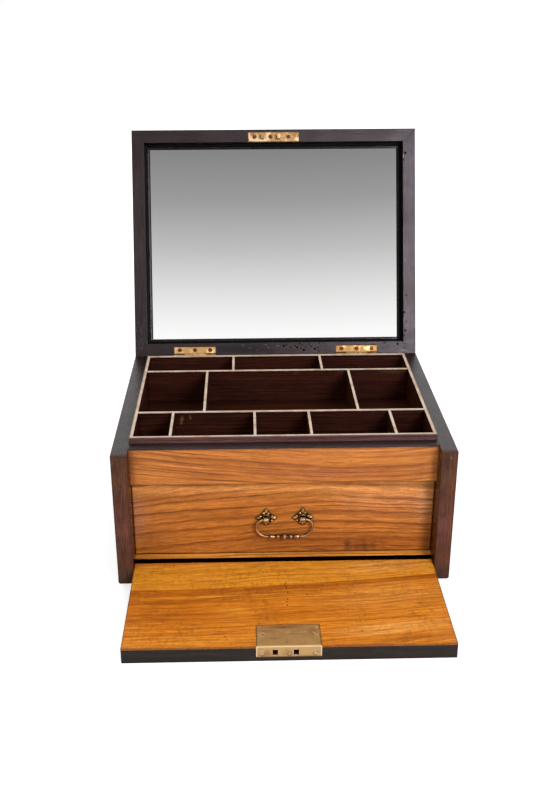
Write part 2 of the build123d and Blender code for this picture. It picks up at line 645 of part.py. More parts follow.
# ------------------------------------------------------------------------ lock
with BuildPart() as lock_plate:
    across = around(LOCK_CENTRE, LOCK_WIDTH)
    block(across, (FALL_EDGE, FALL_EDGE + LOCK_DEPTH), (COVER_BOTTOM, FALL_THICKNESS))
    block(across, (FALL_EDGE, SELVEDGE_BACK),
          (FALL_THICKNESS - LOCK_SELVEDGE_WIDTH, FALL_THICKNESS))
    for x in SOCKETS:
        block(around(x, SOCKET_WIDTH), (FALL_EDGE, SELVEDGE_BACK),
              around(FALL_SOCKET_Z, SOCKET_HEIGHT), mode=Mode.SUBTRACT)
    cut_screw_seats(LOCK_SCREWS)
save(lock_plate, "lock_plate")

cap_inner = LOCK_CAP_WIDTH - 2 * LOCK_CAP_WALL
with BuildPart() as lock_cap:
    block(around(0, LOCK_CAP_WIDTH), (SELVEDGE_BACK, CAP_BACK), (CAP_BOTTOM, COVER_BOTTOM))
    block(around(0, cap_inner), (SELVEDGE_BACK, CAP_BACK - LOCK_CAP_WALL),
          (CAP_BOTTOM + LOCK_CAP_WALL, COVER_BOTTOM), mode=Mode.SUBTRACT)
    keyhole(0, FALL_THICKNESS)
save(lock_cap, "lock_cap")

with BuildPart() as lock_key_pin:
    with Locations((0, KEY_Y, COVER_BOTTOM)):
        Cylinder(KEY_PIN_RADIUS, COVER_BOTTOM - ESCUTCHEON_THICKNESS, align=TOP)
save(lock_key_pin, "lock_key_pin")

with BuildPart() as lock_screws:
    add_screws(LOCK_SCREWS)
save(lock_screws, "lock_screws")

with BuildPart() as escutcheon:
    keyhole(ESCUTCHEON_MARGIN, ESCUTCHEON_THICKNESS, mode=Mode.ADD)
    keyhole(0, ESCUTCHEON_THICKNESS)
save(escutcheon, "keyhole_escutcheon")

# The bolt slides across behind the selvedge. The hooks pass through its windows,
# and the talon at the end of its tail is what the key pushes.
tail_middle = -BOLT_TRAVEL / 2
with BuildPart() as lock_bolt:
    block(around(SOCKET_CENTRE, BOLT_LENGTH), (BOLT_FRONT, BOLT_BACK), (BOLT_BOTTOM, BOLT_TOP))
    block(around(tail_middle, BOLT_TAIL_WIDTH), (BOLT_BACK, BOLT_BACK + BOLT_TAIL_LENGTH),
          (BOLT_TOP - BOLT_THICKNESS, BOLT_TOP))
    for x in SOCKETS:
        block(around(x, HOOK_THICKNESS + 2 * BOLT_WINDOW_GAP), (BOLT_FRONT, BOLT_BACK),
              around(FALL_SOCKET_Z, HOOK_WIDTH + 2 * BOLT_WINDOW_GAP), mode=Mode.SUBTRACT)
    with Locations((tail_middle, BOLT_BACK + BOLT_TAIL_LENGTH, BOLT_TOP)):
        Cylinder(BOLT_TALON_RADIUS, BOLT_THICKNESS, align=TOP, mode=Mode.SUBTRACT)
save(lock_bolt, "lock_bolt")

# --------------------------------------------------------------------- drawer
HANDLE_PLANE = Plane(origin=(HANDLE_CENTRE, DRAWER_FACE, HANDLE_HEIGHT),
                     x_dir=(1, 0, 0), z_dir=(0, -1, 0))
POSTS = [(sign * POST_SPACING / 2, 0) for sign in SIDES.values()]


def cut_post_holes():
    """Holes for the handle posts' threaded ends."""
    with Locations(*[HANDLE_PLANE.location * Location(place + (0,)) for place in POSTS]):
        Cylinder(POST_THREAD_RADIUS + FIT_GAP, 4 * DRAWER_FRONT_THICKNESS, align=MIDDLE,
                 mode=Mode.SUBTRACT)


with BuildPart() as drawer_facing:
    block(both_ways(DRAWER_HALF), (DRAWER_FACE, DRAWER_FACE + FACING_THICKNESS),
          (DRAWER_FRONT_BOTTOM, DRAWER_FRONT_TOP))
    cut_post_holes()
save(drawer_facing, "drawer_facing")

with BuildPart() as drawer_front:
    block(both_ways(DRAWER_HALF), (DRAWER_FACE + FACING_THICKNESS, DRAWER_FRONT_BACK),
          (DRAWER_FRONT_BOTTOM, DRAWER_FRONT_TOP))
    for sign in SIDES.values():
        block(beside(sign, DRAWER_HALF - DRAWER_SIDE_THICKNESS, DRAWER_HALF),
              (DRAWER_FRONT_BACK - DRAWER_LAP, DRAWER_FRONT_BACK),
              (DRAWER_FRONT_BOTTOM, DRAWER_SIDE_TOP), mode=Mode.SUBTRACT)
    block(both_ways(DRAWER_HALF - DRAWER_SIDE_THICKNESS + HOUSING_DEPTH),
          (DRAWER_FRONT_BACK - HOUSING_DEPTH, DRAWER_FRONT_BACK),
          (DRAWER_PANEL_BOTTOM, DRAWER_PANEL_TOP), mode=Mode.SUBTRACT)
    cut_post_holes()
save(drawer_front, "drawer_front")

for name, sign in SIDES.items():
    with BuildPart() as drawer_side:
        block(beside(sign, DRAWER_HALF - DRAWER_SIDE_THICKNESS, DRAWER_HALF),
              (DRAWER_FRONT_BACK - DRAWER_LAP, DRAWER_END),
              (DRAWER_BOTTOM_FACE, DRAWER_SIDE_TOP))
        block(beside(sign, DRAWER_HALF - DRAWER_SIDE_THICKNESS,
                     DRAWER_HALF - DRAWER_SIDE_THICKNESS + HOUSING_DEPTH),
              (DRAWER_FRONT_BACK - DRAWER_LAP, DRAWER_END),
              (DRAWER_PANEL_BOTTOM, DRAWER_PANEL_TOP), mode=Mode.SUBTRACT)
    save(drawer_side, f"drawer_side_{name}")

with BuildPart() as drawer_back:
    block(both_ways(DRAWER_HALF - DRAWER_SIDE_THICKNESS),
          (DRAWER_END - DRAWER_SIDE_THICKNESS, DRAWER_END), (DRAWER_PANEL_TOP, DRAWER_SIDE_TOP))
save(drawer_back, "drawer_back")

with BuildPart() as drawer_bottom:
    block(both_ways(DRAWER_HALF - DRAWER_SIDE_THICKNESS + HOUSING_DEPTH),
          (DRAWER_FRONT_BACK - HOUSING_DEPTH, DRAWER_END),
          (DRAWER_PANEL_BOTTOM, DRAWER_PANEL_TOP))
save(drawer_bottom, "drawer_bottom")


# --------------------------------------------------------------------- handle
def rosette_outline():
    """Four long points with four short leaves between them."""
    points = []
    for step in range(16):
        radius = (ROSETTE_RADIUS, ROSETTE_WAIST_RADIUS, ROSETTE_LEAF_RADIUS,
                  ROSETTE_WAIST_RADIUS)[step % 4]
        angle = radians(90 + step * 360 / 16)
        points.append((radius * cos(angle), radius * sin(angle)))
    return points


for name, place in zip(SIDES, POSTS):
    with BuildPart() as rosette:
        with BuildSketch(HANDLE_PLANE):
            with Locations(place):
                Polygon(*rosette_outline(), align=None)
        extrude(amount=ROSETTE_THICKNESS)
        with BuildSketch(HANDLE_PLANE):
            with Locations(place):
                Circle(ROSETTE_BOSS_RADIUS)
        extrude(amount=ROSETTE_THICKNESS + ROSETTE_BOSS_HEIGHT)
        with BuildSketch(HANDLE_PLANE):
            with Locations(place):
                Circle(POST_RADIUS + FIT_GAP)
        extrude(amount=BAIL_STANDOFF, mode=Mode.SUBTRACT)
    save(rosette, f"rosette_{name}")

post_tail = DRAWER_FRONT_THICKNESS + NUT_THICKNESS + FIT_GAP
with BuildPart() as handle_posts:
    with BuildSketch(HANDLE_PLANE):
        with Locations(*POSTS):
            Circle(POST_RADIUS)
    extrude(amount=BAIL_STANDOFF)
    with BuildSketch(HANDLE_PLANE.offset(-post_tail)):
        with Locations(*POSTS):
            Circle(POST_THREAD_RADIUS)
    extrude(amount=post_tail)
    for x, _ in POSTS:
        cross_cylinder(POST_EYE_RADIUS, HANDLE_CENTRE + x, POST_EYE_LENGTH, BAIL_Y,
                       HANDLE_HEIGHT)
        cross_cylinder(BAIL_WIRE_RADIUS + FIT_GAP, HANDLE_CENTRE + x, 2 * POST_EYE_LENGTH,
                       BAIL_Y, HANDLE_HEIGHT, mode=Mode.SUBTRACT)
save(handle_posts, "handle_posts")

with BuildPart() as handle_nuts:
    with BuildSketch(Plane(origin=(HANDLE_CENTRE, DRAWER_FRONT_BACK, HANDLE_HEIGHT),
                           x_dir=(1, 0, 0), z_dir=(0, -1, 0))):
        with Locations(*POSTS):
            RegularPolygon(NUT_ACROSS_FLATS / 2, 6, major_radius=False)
            Circle(POST_THREAD_RADIUS + FIT_GAP, mode=Mode.SUBTRACT)
    extrude(amount=-NUT_THICKNESS)
save(handle_nuts, "handle_nuts")

# The bail is a wire loop whose turned-in ends pivot in the posts' eyes, with three
# beads and two balusters on its grip.
bail_plane = Plane(origin=(HANDLE_CENTRE, BAIL_Y, HANDLE_HEIGHT),
                   x_dir=(1, 0, 0), z_dir=(0, -1, 0))
bail_tip = POST_SPACING / 2 - BAIL_PINTLE
bail_shoulder = POST_SPACING / 2 + BAIL_SHOULDER_RUN
bail_side = bail_shoulder + BAIL_SHOULDER_RADIUS
bail_corner = bail_side - BAIL_CORNER_RADIUS
bail_drop = BAIL_SHOULDER_RADIUS + BAIL_CORNER_RADIUS
with BuildPart() as bail:
    with BuildLine(bail_plane) as bail_path:
        Line((bail_tip, 0), (bail_shoulder, 0))
        RadiusArc((bail_shoulder, 0), (bail_side, -BAIL_SHOULDER_RADIUS),
                  BAIL_SHOULDER_RADIUS)
        RadiusArc((bail_side, -BAIL_SHOULDER_RADIUS), (bail_corner, -bail_drop),
                  BAIL_CORNER_RADIUS)
        Line((bail_corner, -bail_drop), (0, -bail_drop))
    wire_path = bail_path.wires()[0]
    with BuildSketch(Plane(origin=wire_path.position_at(0), z_dir=wire_path.tangent_at(0))):
        Circle(BAIL_WIRE_RADIUS)
    sweep(path=wire_path)
    mirror(about=Plane.YZ.offset(HANDLE_CENTRE))
    grip_z = HANDLE_HEIGHT - bail_drop
    for step, radius in ((0, BAIL_BEAD_RADII[0]), (-1, BAIL_BEAD_RADII[1]),
                         (1, BAIL_BEAD_RADII[1])):
        bead_place = (HANDLE_CENTRE + step * BAIL_BEAD_PITCH, BAIL_Y, grip_z)
        with Locations(Location(bead_place, (0, 90, 0))):
            Sphere(radius)
    for sign in SIDES.values():
        cross_cylinder(BAIL_BALUSTER_RADIUS, HANDLE_CENTRE + sign * 2 * BAIL_BEAD_PITCH,
                       BAIL_BALUSTER_LENGTH, BAIL_Y, grip_z)
save(bail, "bail")

# ----------------------------------------------------------------------- tray
tray_inner_half = TRAY_HALF - TRAY_WALL
wall_heights = (TRAY_FLOOR_TOP, TRAY_WALL_TOP)
cap_heights = (TRAY_WALL_TOP, TRAY_TOP)
tray_rows = {
    "front": ((TRAY_FRONT + TRAY_WALL, TRAY_LONG_DIVIDERS[0] - TRAY_DIVIDER / 2),
              TRAY_FRONT_ROW_DIVIDERS),
    "middle": ((TRAY_LONG_DIVIDERS[0] + TRAY_DIVIDER / 2,
                TRAY_LONG_DIVIDERS[1] - TRAY_DIVIDER / 2), TRAY_MIDDLE_ROW_DIVIDERS),
    "back": ((TRAY_LONG_DIVIDERS[1] + TRAY_DIVIDER / 2, TRAY_BACK - TRAY_WALL),
             TRAY_BACK_ROW_DIVIDERS),
}
end_walls = {
    "front": (TRAY_FRONT, TRAY_FRONT + TRAY_WALL),
    "back": (TRAY_BACK - TRAY_WALL, TRAY_BACK),
}

with BuildPart() as tray_floor:
    block(both_ways(TRAY_HALF), (TRAY_FRONT, TRAY_BACK), (TRAY_BOTTOM, TRAY_FLOOR_TOP))
save(tray_floor, "tray_floor")

for name, y_range in end_walls.items():
    with BuildPart() as end_wall:
        block(both_ways(TRAY_HALF), y_range, wall_heights)
    save(end_wall, f"tray_wall_{name}")

for name, sign in SIDES.items():
    with BuildPart() as side_wall:
        block(beside(sign, tray_inner_half, TRAY_HALF),
              (TRAY_FRONT + TRAY_WALL, TRAY_BACK - TRAY_WALL), wall_heights)
    save(side_wall, f"tray_wall_{name}")

for name, y in zip(("front", "back"), TRAY_LONG_DIVIDERS):
    with BuildPart() as long_divider:
        block(both_ways(tray_inner_half), around(y, TRAY_DIVIDER), wall_heights)
    save(long_divider, f"tray_long_divider_{name}")

for name, (y_range, places) in tray_rows.items():
    with BuildPart() as row_dividers:
        for x in places:
            block(around(x, TRAY_DIVIDER), y_range, wall_heights)
    save(row_dividers, f"tray_dividers_{name}_row")

with BuildPart() as tray_rim_capping:
    for y_range in end_walls.values():
        block(both_ways(TRAY_HALF), y_range, cap_heights)
    for sign in SIDES.values():
        block(beside(sign, tray_inner_half, TRAY_HALF),
              (TRAY_FRONT + TRAY_WALL, TRAY_BACK - TRAY_WALL), cap_heights)
save(tray_rim_capping, "tray_rim_capping")

with BuildPart() as tray_divider_capping:
    for y in TRAY_LONG_DIVIDERS:
        block(both_ways(tray_inner_half), around(y, TRAY_DIVIDER), cap_heights)
    for y_range, places in tray_rows.values():
        for x in places:
            block(around(x, TRAY_DIVIDER), y_range, cap_heights)
save(tray_divider_capping, "tray_divider_capping")
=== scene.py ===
"""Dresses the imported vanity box: its finishes, its cast and turned handle, and the studio round it.

Sizes are in metres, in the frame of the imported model: X runs across the box, Y from its front to its back,
and Z up from the surface that it stands on. Only the bail's turning and what places the marks are in
millimetres.
"""

import logging
import math
from collections.abc import Callable, Sequence
from dataclasses import dataclass, replace
from enum import Enum

import bpy
from bpy.types import Material, Node, NodeSocket, NodeTree, Object
from mathutils import Euler, Matrix, Vector

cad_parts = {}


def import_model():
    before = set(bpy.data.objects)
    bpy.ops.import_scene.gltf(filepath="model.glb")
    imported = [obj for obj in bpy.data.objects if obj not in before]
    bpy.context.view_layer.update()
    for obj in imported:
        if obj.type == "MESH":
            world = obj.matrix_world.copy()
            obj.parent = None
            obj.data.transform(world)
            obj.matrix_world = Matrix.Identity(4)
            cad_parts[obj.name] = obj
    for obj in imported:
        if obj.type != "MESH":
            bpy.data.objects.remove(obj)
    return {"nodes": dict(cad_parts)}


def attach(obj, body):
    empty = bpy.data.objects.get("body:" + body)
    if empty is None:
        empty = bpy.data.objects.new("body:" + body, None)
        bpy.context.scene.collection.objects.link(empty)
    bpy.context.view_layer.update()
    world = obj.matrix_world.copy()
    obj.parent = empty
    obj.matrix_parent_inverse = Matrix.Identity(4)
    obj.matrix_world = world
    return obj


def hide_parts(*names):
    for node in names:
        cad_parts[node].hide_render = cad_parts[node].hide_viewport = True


Colour = tuple[float, float, float]
Place = tuple[float, float, float]
Feed = NodeSocket | float | Sequence[float]
Nodes = dict[str, Object]

LOG = logging.getLogger("vanity_box")
MM = 0.001
LID_LEAN = math.radians(20)
QUARTER = math.pi / 2
STREAK = 0.12  # how far a streak's pattern is drawn out along the board
WHOLE = 9000.0  # a mark's half length, in millimetres, where it runs the whole length of a board
ORIGIN = (0.0, 0.0, 0.0)
LEFT, RIGHT, FORWARD, DOWN = (-1.0, 0.0, 0.0), (1.0, 0.0, 0.0), (0.0, -1.0, 0.0), (0.0, 0.0, -1.0)
WHITE = (1.0, 1.0, 1.0)


def paint(red: int, green: int, blue: int) -> Colour:
    """Returns the linear colour of a paint mixed in steps of 0 to 255."""
    steps = (red / 255, green / 255, blue / 255)
    return tuple(s / 12.92 if s <= 0.04045 else ((s + 0.055) / 1.055) ** 2.4 for s in steps)


# ------------------------------------------------------------------------------------------ shader tools
class Graph:
    """Writes the nodes of one shader tree."""

    def __init__(self, tree: NodeTree) -> None:
        """Keeps the tree that the nodes go into."""
        self.tree = tree

    def node(self, kind: str, feeds: dict[str | int, Feed] | None = None, **settings: object) -> Node:
        """Adds a node.

        Args:
            kind: the node's Blender type, without the word that all of them start with.
            feeds: the value or the link that each input takes, by the input's name or number.
            **settings: the node's own properties.

        Returns:
            The new node.
        """
        made = self.tree.nodes.new(f"ShaderNode{kind}")
        for name, setting in settings.items():
            setattr(made, name, setting)
        for key, value in (feeds or {}).items():
            self.feed(made.inputs[key], value)
        return made

    def feed(self, socket: NodeSocket, value: Feed) -> None:
        """Links an input, or sets its plain value.

        Args:
            socket: the input.
            value: the output that it takes, or its plain value.
        """
        if isinstance(value, NodeSocket):
            self.tree.links.new(value, socket)
        elif socket.type == "RGBA":
            socket.default_value = (*value[:3], 1.0)
        else:
            socket.default_value = value

    def place(self) -> NodeSocket:
        """Returns the point's place on the piece."""
        return self.node("TexCoord").outputs["Object"]

    def facing(self) -> NodeSocket:
        """Returns the way that the piece faces at the point."""
        return self.node("TexCoord").outputs["Normal"]

    def turn(self, vector: NodeSocket, rotation: Place) -> NodeSocket:
        """Returns a vector turned, as a board is laid along X."""
        return self.node("Mapping", {"Vector": vector, "Rotation": rotation}).outputs[0]

    def maths(self, operation: str, first: Feed, second: Feed = 0.0, third: Feed = 0.0) -> NodeSocket:
        """Returns the result of one sum on plain numbers."""
        return self.node("Math", {0: first, 1: second, 2: third}, operation=operation).outputs[0]

    def times(self, first: Feed, second: Feed) -> NodeSocket:
        """Returns a product."""
        return self.maths("MULTIPLY", first, second)

    def over(self, first: Feed, second: Feed) -> NodeSocket:
        """Returns the first number divided by the second."""
        return self.maths("DIVIDE", first, second)

    def less(self, first: Feed, second: Feed) -> NodeSocket:
        """Returns the first number less the second."""
        return self.maths("SUBTRACT", first, second)

    def more(self, base: Feed, value: Feed, share: Feed) -> NodeSocket:
        """Returns a base number with a share of a value added."""
        return self.maths("MULTIPLY_ADD", value, share, base)

    def most(self, first: Feed, second: Feed) -> NodeSocket:
        """Returns the larger of two numbers."""
        return self.maths("MAXIMUM", first, second)

    def vectors(self, operation: str, first: Feed, second: Feed = ORIGIN) -> NodeSocket:
        """Returns the result of one sum on vectors."""
        made = self.node("VectorMath", {0: first, 1: second}, operation=operation)
        return made.outputs["Value" if operation in ("DOT_PRODUCT", "LENGTH") else "Vector"]

    def level(self, value: Feed, low: Feed, high: Feed, start: Feed = 0.0, end: Feed = 1.0) -> NodeSocket:
        """Eases a value from one range to another.

        Args:
            value: what is eased.
            low: the value at which the result is start.
            high: the value at which the result is end.
            start: the result at and beyond low.
            end: the result at and beyond high.

        Returns:
            The eased value.
        """
        feeds = {"Value": value, "From Min": low, "From Max": high, "To Min": start, "To Max": end}
        return self.node("MapRange", feeds, interpolation_type="SMOOTHSTEP").outputs["Result"]

    def noise(self, vector: Feed, scale: float, detail: float = 2.0, roughness: float = 0.5) -> NodeSocket:
        """Returns a cloud of values between 0 and 1."""
        feeds = {"Vector": vector, "Scale": scale, "Detail": detail, "Roughness": roughness}
        return self.node("TexNoise", feeds).outputs[0]

    def strands(self, vector: Feed, close: Place, detail: float, roughness: float = 0.5) -> NodeSocket:
        """Returns a cloud that is packed more closely along some ways than others."""
        return self.noise(self.vectors("MULTIPLY", vector, close), 1.0, detail, roughness)

    def cells(self, vector: Feed, scale: float) -> NodeSocket:
        """Returns how far a point is from the nearest of many scattered ones."""
        return self.node("TexVoronoi", {"Vector": vector, "Scale": scale}).outputs[0]

    def blend(self, factor: Feed, first: Feed, second: Feed, kind: str = "MIX") -> NodeSocket:
        """Returns one colour laid over another."""
        feeds = {0: factor, 6: first, 7: second}
        return self.node("Mix", feeds, data_type="RGBA", blend_type=kind).outputs[2]

    def wash(self, tone: Feed, colour: Feed, mask: Feed, depth: float, kind: str = "MIX") -> NodeSocket:
        """Returns a colour washed over with another where a mask says, as deeply as depth."""
        return self.blend(self.times(mask, depth), tone, colour, kind)

    def split(self, vector: Feed) -> tuple[NodeSocket, NodeSocket, NodeSocket]:
        """Returns a vector's three parts."""
        return tuple(self.node("SeparateXYZ", {0: vector}).outputs)

    def gather(self, x: Feed, y: Feed, z: Feed = 0.0) -> NodeSocket:
        """Returns the vector that three values make."""
        return self.node("CombineXYZ", {0: x, 1: y, 2: z}).outputs[0]

    def use(self, effect: NodeTree, **feeds: Feed) -> Sequence[NodeSocket]:
        """Places a shared effect.

        Args:
            effect: the effect's group.
            **feeds: its inputs, by their names in small letters.

        Returns:
            What it gives.
        """
        made = self.node("Group", node_tree=effect)
        for socket in made.inputs:
            if socket.name.lower() in feeds:
                self.feed(socket, feeds[socket.name.lower()])
        return made.outputs

    def relief(self, height: Feed, distance: float, normal: Feed) -> NodeSocket:
        """Returns the normal of a surface that rises with a height."""
        feeds = {"Strength": 1.0, "Distance": distance, "Height": height, "Normal": normal}
        return self.node("Bump", feeds).outputs[0]

    def close(self, surface: Node) -> None:
        """Puts a surface on the material's output."""
        self.node("OutputMaterial", {"Surface": surface.outputs[0]})

    def cover(self, tone: Feed, roughness: Feed, metal: Feed, **feeds: Feed) -> None:
        """Gives the material its surface.

        Args:
            tone: its colour.
            roughness: how rough it is.
            metal: how far it is metal.
            **feeds: its other inputs, with their names in small letters and joined by underscores.
        """
        surface = self.node("BsdfPrincipled", {"Base Color": tone, "Roughness": roughness, "Metallic": metal})
        for socket in surface.inputs:
            name = socket.name.lower().replace(" ", "_")
            if name in feeds:
                self.feed(socket, feeds[name])
        self.close(surface)


def new_effect(name: str, takes: dict[str, float | Place],
               gives: Sequence[str]) -> tuple[Graph, Sequence[NodeSocket], Sequence[NodeSocket]]:
    """Starts a shader node group.

    Args:
        name: the group's name.
        takes: each input's name and the value it has by itself.
        gives: each output's name. All are plain numbers but one named Normal.

    Returns:
        The group's graph, the sockets that bring its inputs, and those that take its outputs.
    """
    tree = bpy.data.node_groups.new(name, "ShaderNodeTree")
    for label, value in takes.items():
        kind = "NodeSocketFloat" if isinstance(value, float) else "NodeSocketVector"
        tree.interface.new_socket(name=label, in_out="INPUT", socket_type=kind).default_value = value
    for label in gives:
        kind = "NodeSocketVector" if label == "Normal" else "NodeSocketFloat"
        tree.interface.new_socket(name=label, in_out="OUTPUT", socket_type=kind)
    return Graph(tree), tree.nodes.new("NodeGroupInput").outputs, tree.nodes.new("NodeGroupOutput").inputs


def new_material(name: str) -> tuple[Material, Graph]:
    """Starts an empty material.

    Args:
        name: the material's name.

    Returns:
        The material and its graph.
    """
    material = bpy.data.materials.new(name)
    material.use_nodes = True
    material.node_tree.nodes.clear()
    return material, Graph(material.node_tree)


def put_on(node: Object, material: Material) -> None:
    """Puts a material on a piece.

    Args:
        node: the piece.
        material: what all of its slots take.
    """
    if not node.data.materials:
        node.data.materials.append(material)
    for slot in node.material_slots:
        slot.material = material


class Effects:
    """The shader node groups that several finishes share."""

    def __init__(self) -> None:
        """Builds each group once."""
        self.figure = self._figure()
        self.rim = self._rim()
        self.arris = self._arris()
        self.patch = self._patch()
        self.handling = self._handling()
        self.tarnish = self._tarnish()

    @staticmethod
    def _figure() -> NodeTree:
        """Draws the figure of a board whose length runs along X: stripes, growth lines, fibre and pores.

        Returns:
            The group.
        """
        takes = {"Vector": ORIGIN, "Pitch": 0.0035, "Wander": 0.004, "Reach": 0.08, "Ripple": 0.0008}
        graph, taken, given = new_effect("board_figure", takes, ("Stripe", "Line", "Fibre", "Pore", "Fleck"))
        point, pitch = taken["Vector"], taken["Pitch"]
        along, across, depth = graph.split(point)
        feeds = {0: point, "Scale": graph.over(1.0, taken["Reach"])}
        near = graph.node("VectorMath", feeds, operation="SCALE").outputs["Vector"]
        drift = graph.less(graph.noise(near, 1.0, 1.0, 0.4), 0.5)
        tremor = graph.less(graph.strands(point, (55.0, 110.0, 110.0), 3.0), 0.5)
        level = graph.more(across, depth, 0.6)
        level = graph.more(level, drift, graph.times(taken["Wander"], 4.0))
        level = graph.more(level, graph.times(tremor, taken["Ripple"]), 3.0)
        ring, length = graph.over(level, pitch), graph.over(along, pitch)

        def drawn_out(share: float, layer: float) -> NodeSocket:
            """Returns the point among the rings, with the length cut to a share."""
            return graph.gather(graph.times(length, share), ring, layer)

        broad = graph.level(graph.noise(drawn_out(0.012, 0.0), 0.3, 3.0, 0.55), 0.38, 0.62)
        close = graph.level(graph.noise(drawn_out(0.03, 3.0), 1.3, 4.0, 0.7), 0.38, 0.62)
        graph.feed(given["Stripe"], graph.maths("ADD", graph.times(broad, 0.4), graph.times(close, 0.6)))
        shift = graph.noise(drawn_out(0.02, 7.0), 0.3, 1.0)
        year = graph.maths("FRACT", graph.more(graph.times(ring, 0.9), shift, 3.0))
        late = graph.times(graph.level(year, 0.45, 0.88), graph.level(year, 1.0, 0.93))
        come = graph.level(graph.noise(drawn_out(0.05, 11.0), 0.6, 2.0), 0.34, 0.52)
        graph.feed(given["Line"], graph.times(late, come))
        sway = graph.less(graph.noise(point, 90.0, 2.0, 0.6), 0.5)
        loose = graph.gather(graph.more(along, sway, 0.012), level, depth)
        fibre = graph.strands(loose, (60.0, 900.0, 900.0), 4.0, 0.7)
        graph.feed(given["Fibre"], graph.level(fibre, 0.35, 0.68))
        pore = graph.strands(loose, (260.0, 2200.0, 2200.0), 1.0)
        graph.feed(given["Pore"], graph.level(pore, 0.6, 0.72))
        fleck = graph.level(graph.strands(loose, (430.0, 110.0, 110.0), 3.0, 0.7), 0.45, 0.68)
        region = graph.level(graph.noise(point, 28.0), 0.35, 0.65)
        graph.feed(given["Fleck"], graph.times(region, fleck))
        return graph.tree

    @staticmethod
    def _rim() -> NodeTree:
        """Finds how near a point is to a board's ends and edges, with a ragged inner limit.

        Returns:
            The group.
        """
        takes = {"Vector": ORIGIN, "Low": ORIGIN, "High": (1.0, 1.0, 1.0), "Reach": 0.01}
        graph, taken, given = new_effect("board_rim", takes, ("Rim",))
        inside = graph.vectors("MINIMUM", graph.vectors("SUBTRACT", taken["Vector"], taken["Low"]),
                               graph.vectors("SUBTRACT", taken["High"], taken["Vector"]))
        along, across, _ = graph.split(inside)
        ragged = graph.more(0.4, graph.noise(taken["Vector"], 60.0, 4.0, 0.6), 1.2)
        near = graph.over(graph.maths("MINIMUM", along, across), graph.times(taken["Reach"], ragged))
        graph.feed(given["Rim"], graph.level(near, 1.0, 0.0))
        return graph.tree

    @staticmethod
    def _arris() -> NodeTree:
        """Finds the wear on a piece's sharp edges, and its normals with those edges eased.

        Returns:
            The group.
        """
        takes = {"Vector": ORIGIN, "Radius": 0.0006, "Amount": 0.5}
        graph, taken, given = new_effect("arris", takes, ("Wear", "Normal"))
        eased = graph.node("Bevel", {"Radius": taken["Radius"]}, samples=6).outputs[0]
        flat = graph.node("NewGeometry").outputs["Normal"]
        turned = graph.less(1.0, graph.vectors("DOT_PRODUCT", eased, flat))
        spots = graph.noise(taken["Vector"], 240.0, 5.0, 0.65)
        worn = graph.times(graph.level(turned, 0.02, 0.2), graph.level(spots, 0.62, 0.42))
        graph.feed(given["Wear"], graph.times(worn, taken["Amount"]))
        graph.feed(given["Normal"], eased)
        return graph.tree

    @staticmethod
    def _patch() -> NodeTree:
        """Draws one oval patch with a broken edge, from soft all over to firm.

        Returns:
            The group.
        """
        takes = {"Vector": ORIGIN, "Centre": ORIGIN, "Size": (0.01, 0.01, 0.01), "Turn": 0.0, "Ragged": 0.5,
                 "Firm": 0.3}
        graph, taken, given = new_effect("patch", takes, ("Mask",))
        centred = graph.vectors("SUBTRACT", taken["Vector"], taken["Centre"])
        feeds = {"Vector": centred, "Angle": taken["Turn"]}
        turned = graph.node("VectorRotate", feeds, rotation_type="Z_AXIS")
        reach = graph.vectors("LENGTH", graph.vectors("DIVIDE", turned.outputs[0], taken["Size"]))
        broken = graph.less(graph.noise(taken["Vector"], 420.0, 4.0, 0.65), 0.5)
        graph.feed(given["Mask"], graph.level(graph.more(reach, broken, taken["Ragged"]), 1.0, taken["Firm"]))
        return graph.tree

    @staticmethod
    def _handling() -> NodeTree:
        """Draws what use leaves: soft smudges, thin scratches, fine specks and an uneven ground.

        Returns:
            The group.
        """
        graph, taken, given = new_effect("handling", {"Vector": ORIGIN},
                                         ("Smudge", "Scratch", "Speck", "Swell"))
        point = taken["Vector"]
        graph.feed(given["Smudge"], graph.level(graph.noise(point, 22.0, 4.0, 0.6), 0.42, 0.7))
        graph.feed(given["Swell"], graph.noise(point, 38.0, 1.0))
        scratches = []
        for turn, close in ((0.35, (22.0, 1500.0, 400.0)), (-0.9, (30.0, 1900.0, 500.0))):
            turned = graph.node("VectorRotate", {"Vector": point, "Angle": turn, "Axis": (0.2, 0.3, 1.0)})
            scratches.append(graph.level(graph.strands(turned.outputs[0], close, 0.0), 0.79, 0.83))
        graph.feed(given["Scratch"], graph.most(*scratches))
        sparse = graph.level(graph.noise(point, 90.0), 0.52, 0.62)
        graph.feed(given["Speck"], graph.times(sparse, graph.level(graph.cells(point, 420.0), 0.2, 0.08)))
        return graph.tree

    @staticmethod
    def _tarnish() -> NodeTree:
        """Draws the patina on metal: broad cloud, small spots and the lines of its brushing.

        Returns:
            The group.
        """
        graph, taken, given = new_effect("tarnish", {"Vector": ORIGIN, "Spread": 0.5},
                                         ("Cloud", "Spot", "Brushing"))
        point = taken["Vector"]
        limit = graph.less(0.82, graph.times(taken["Spread"], 0.5))
        cloud = graph.noise(point, 130.0, 5.0, 0.65)
        graph.feed(given["Cloud"], graph.level(cloud, graph.less(limit, 0.16), limit))
        sparse = graph.level(graph.noise(point, 260.0), 0.5, 0.64)
        graph.feed(given["Spot"], graph.times(sparse, graph.level(graph.cells(point, 900.0), 0.34, 0.12)))
        graph.feed(given["Brushing"], graph.strands(point, (60.0, 3200.0, 3200.0), 3.0, 0.6))
        return graph.tree


# ---------------------------------------------------------------------------------------------- finishes
class Grain(Enum):
    """The turn that lays a board's length on X, its width on Y and its thickness on Z."""

    ACROSS_FLAT = ORIGIN
    ACROSS_UPRIGHT = (-QUARTER, 0.0, 0.0)
    BACK_UPRIGHT = (-QUARTER, -QUARTER, 0.0)
    UP = (QUARTER, 0.0, -QUARTER)
    LID_ACROSS = (LID_LEAN - QUARTER, 0.0, 0.0)
    LID_UP = (LID_LEAN - QUARTER, 0.0, -QUARTER)


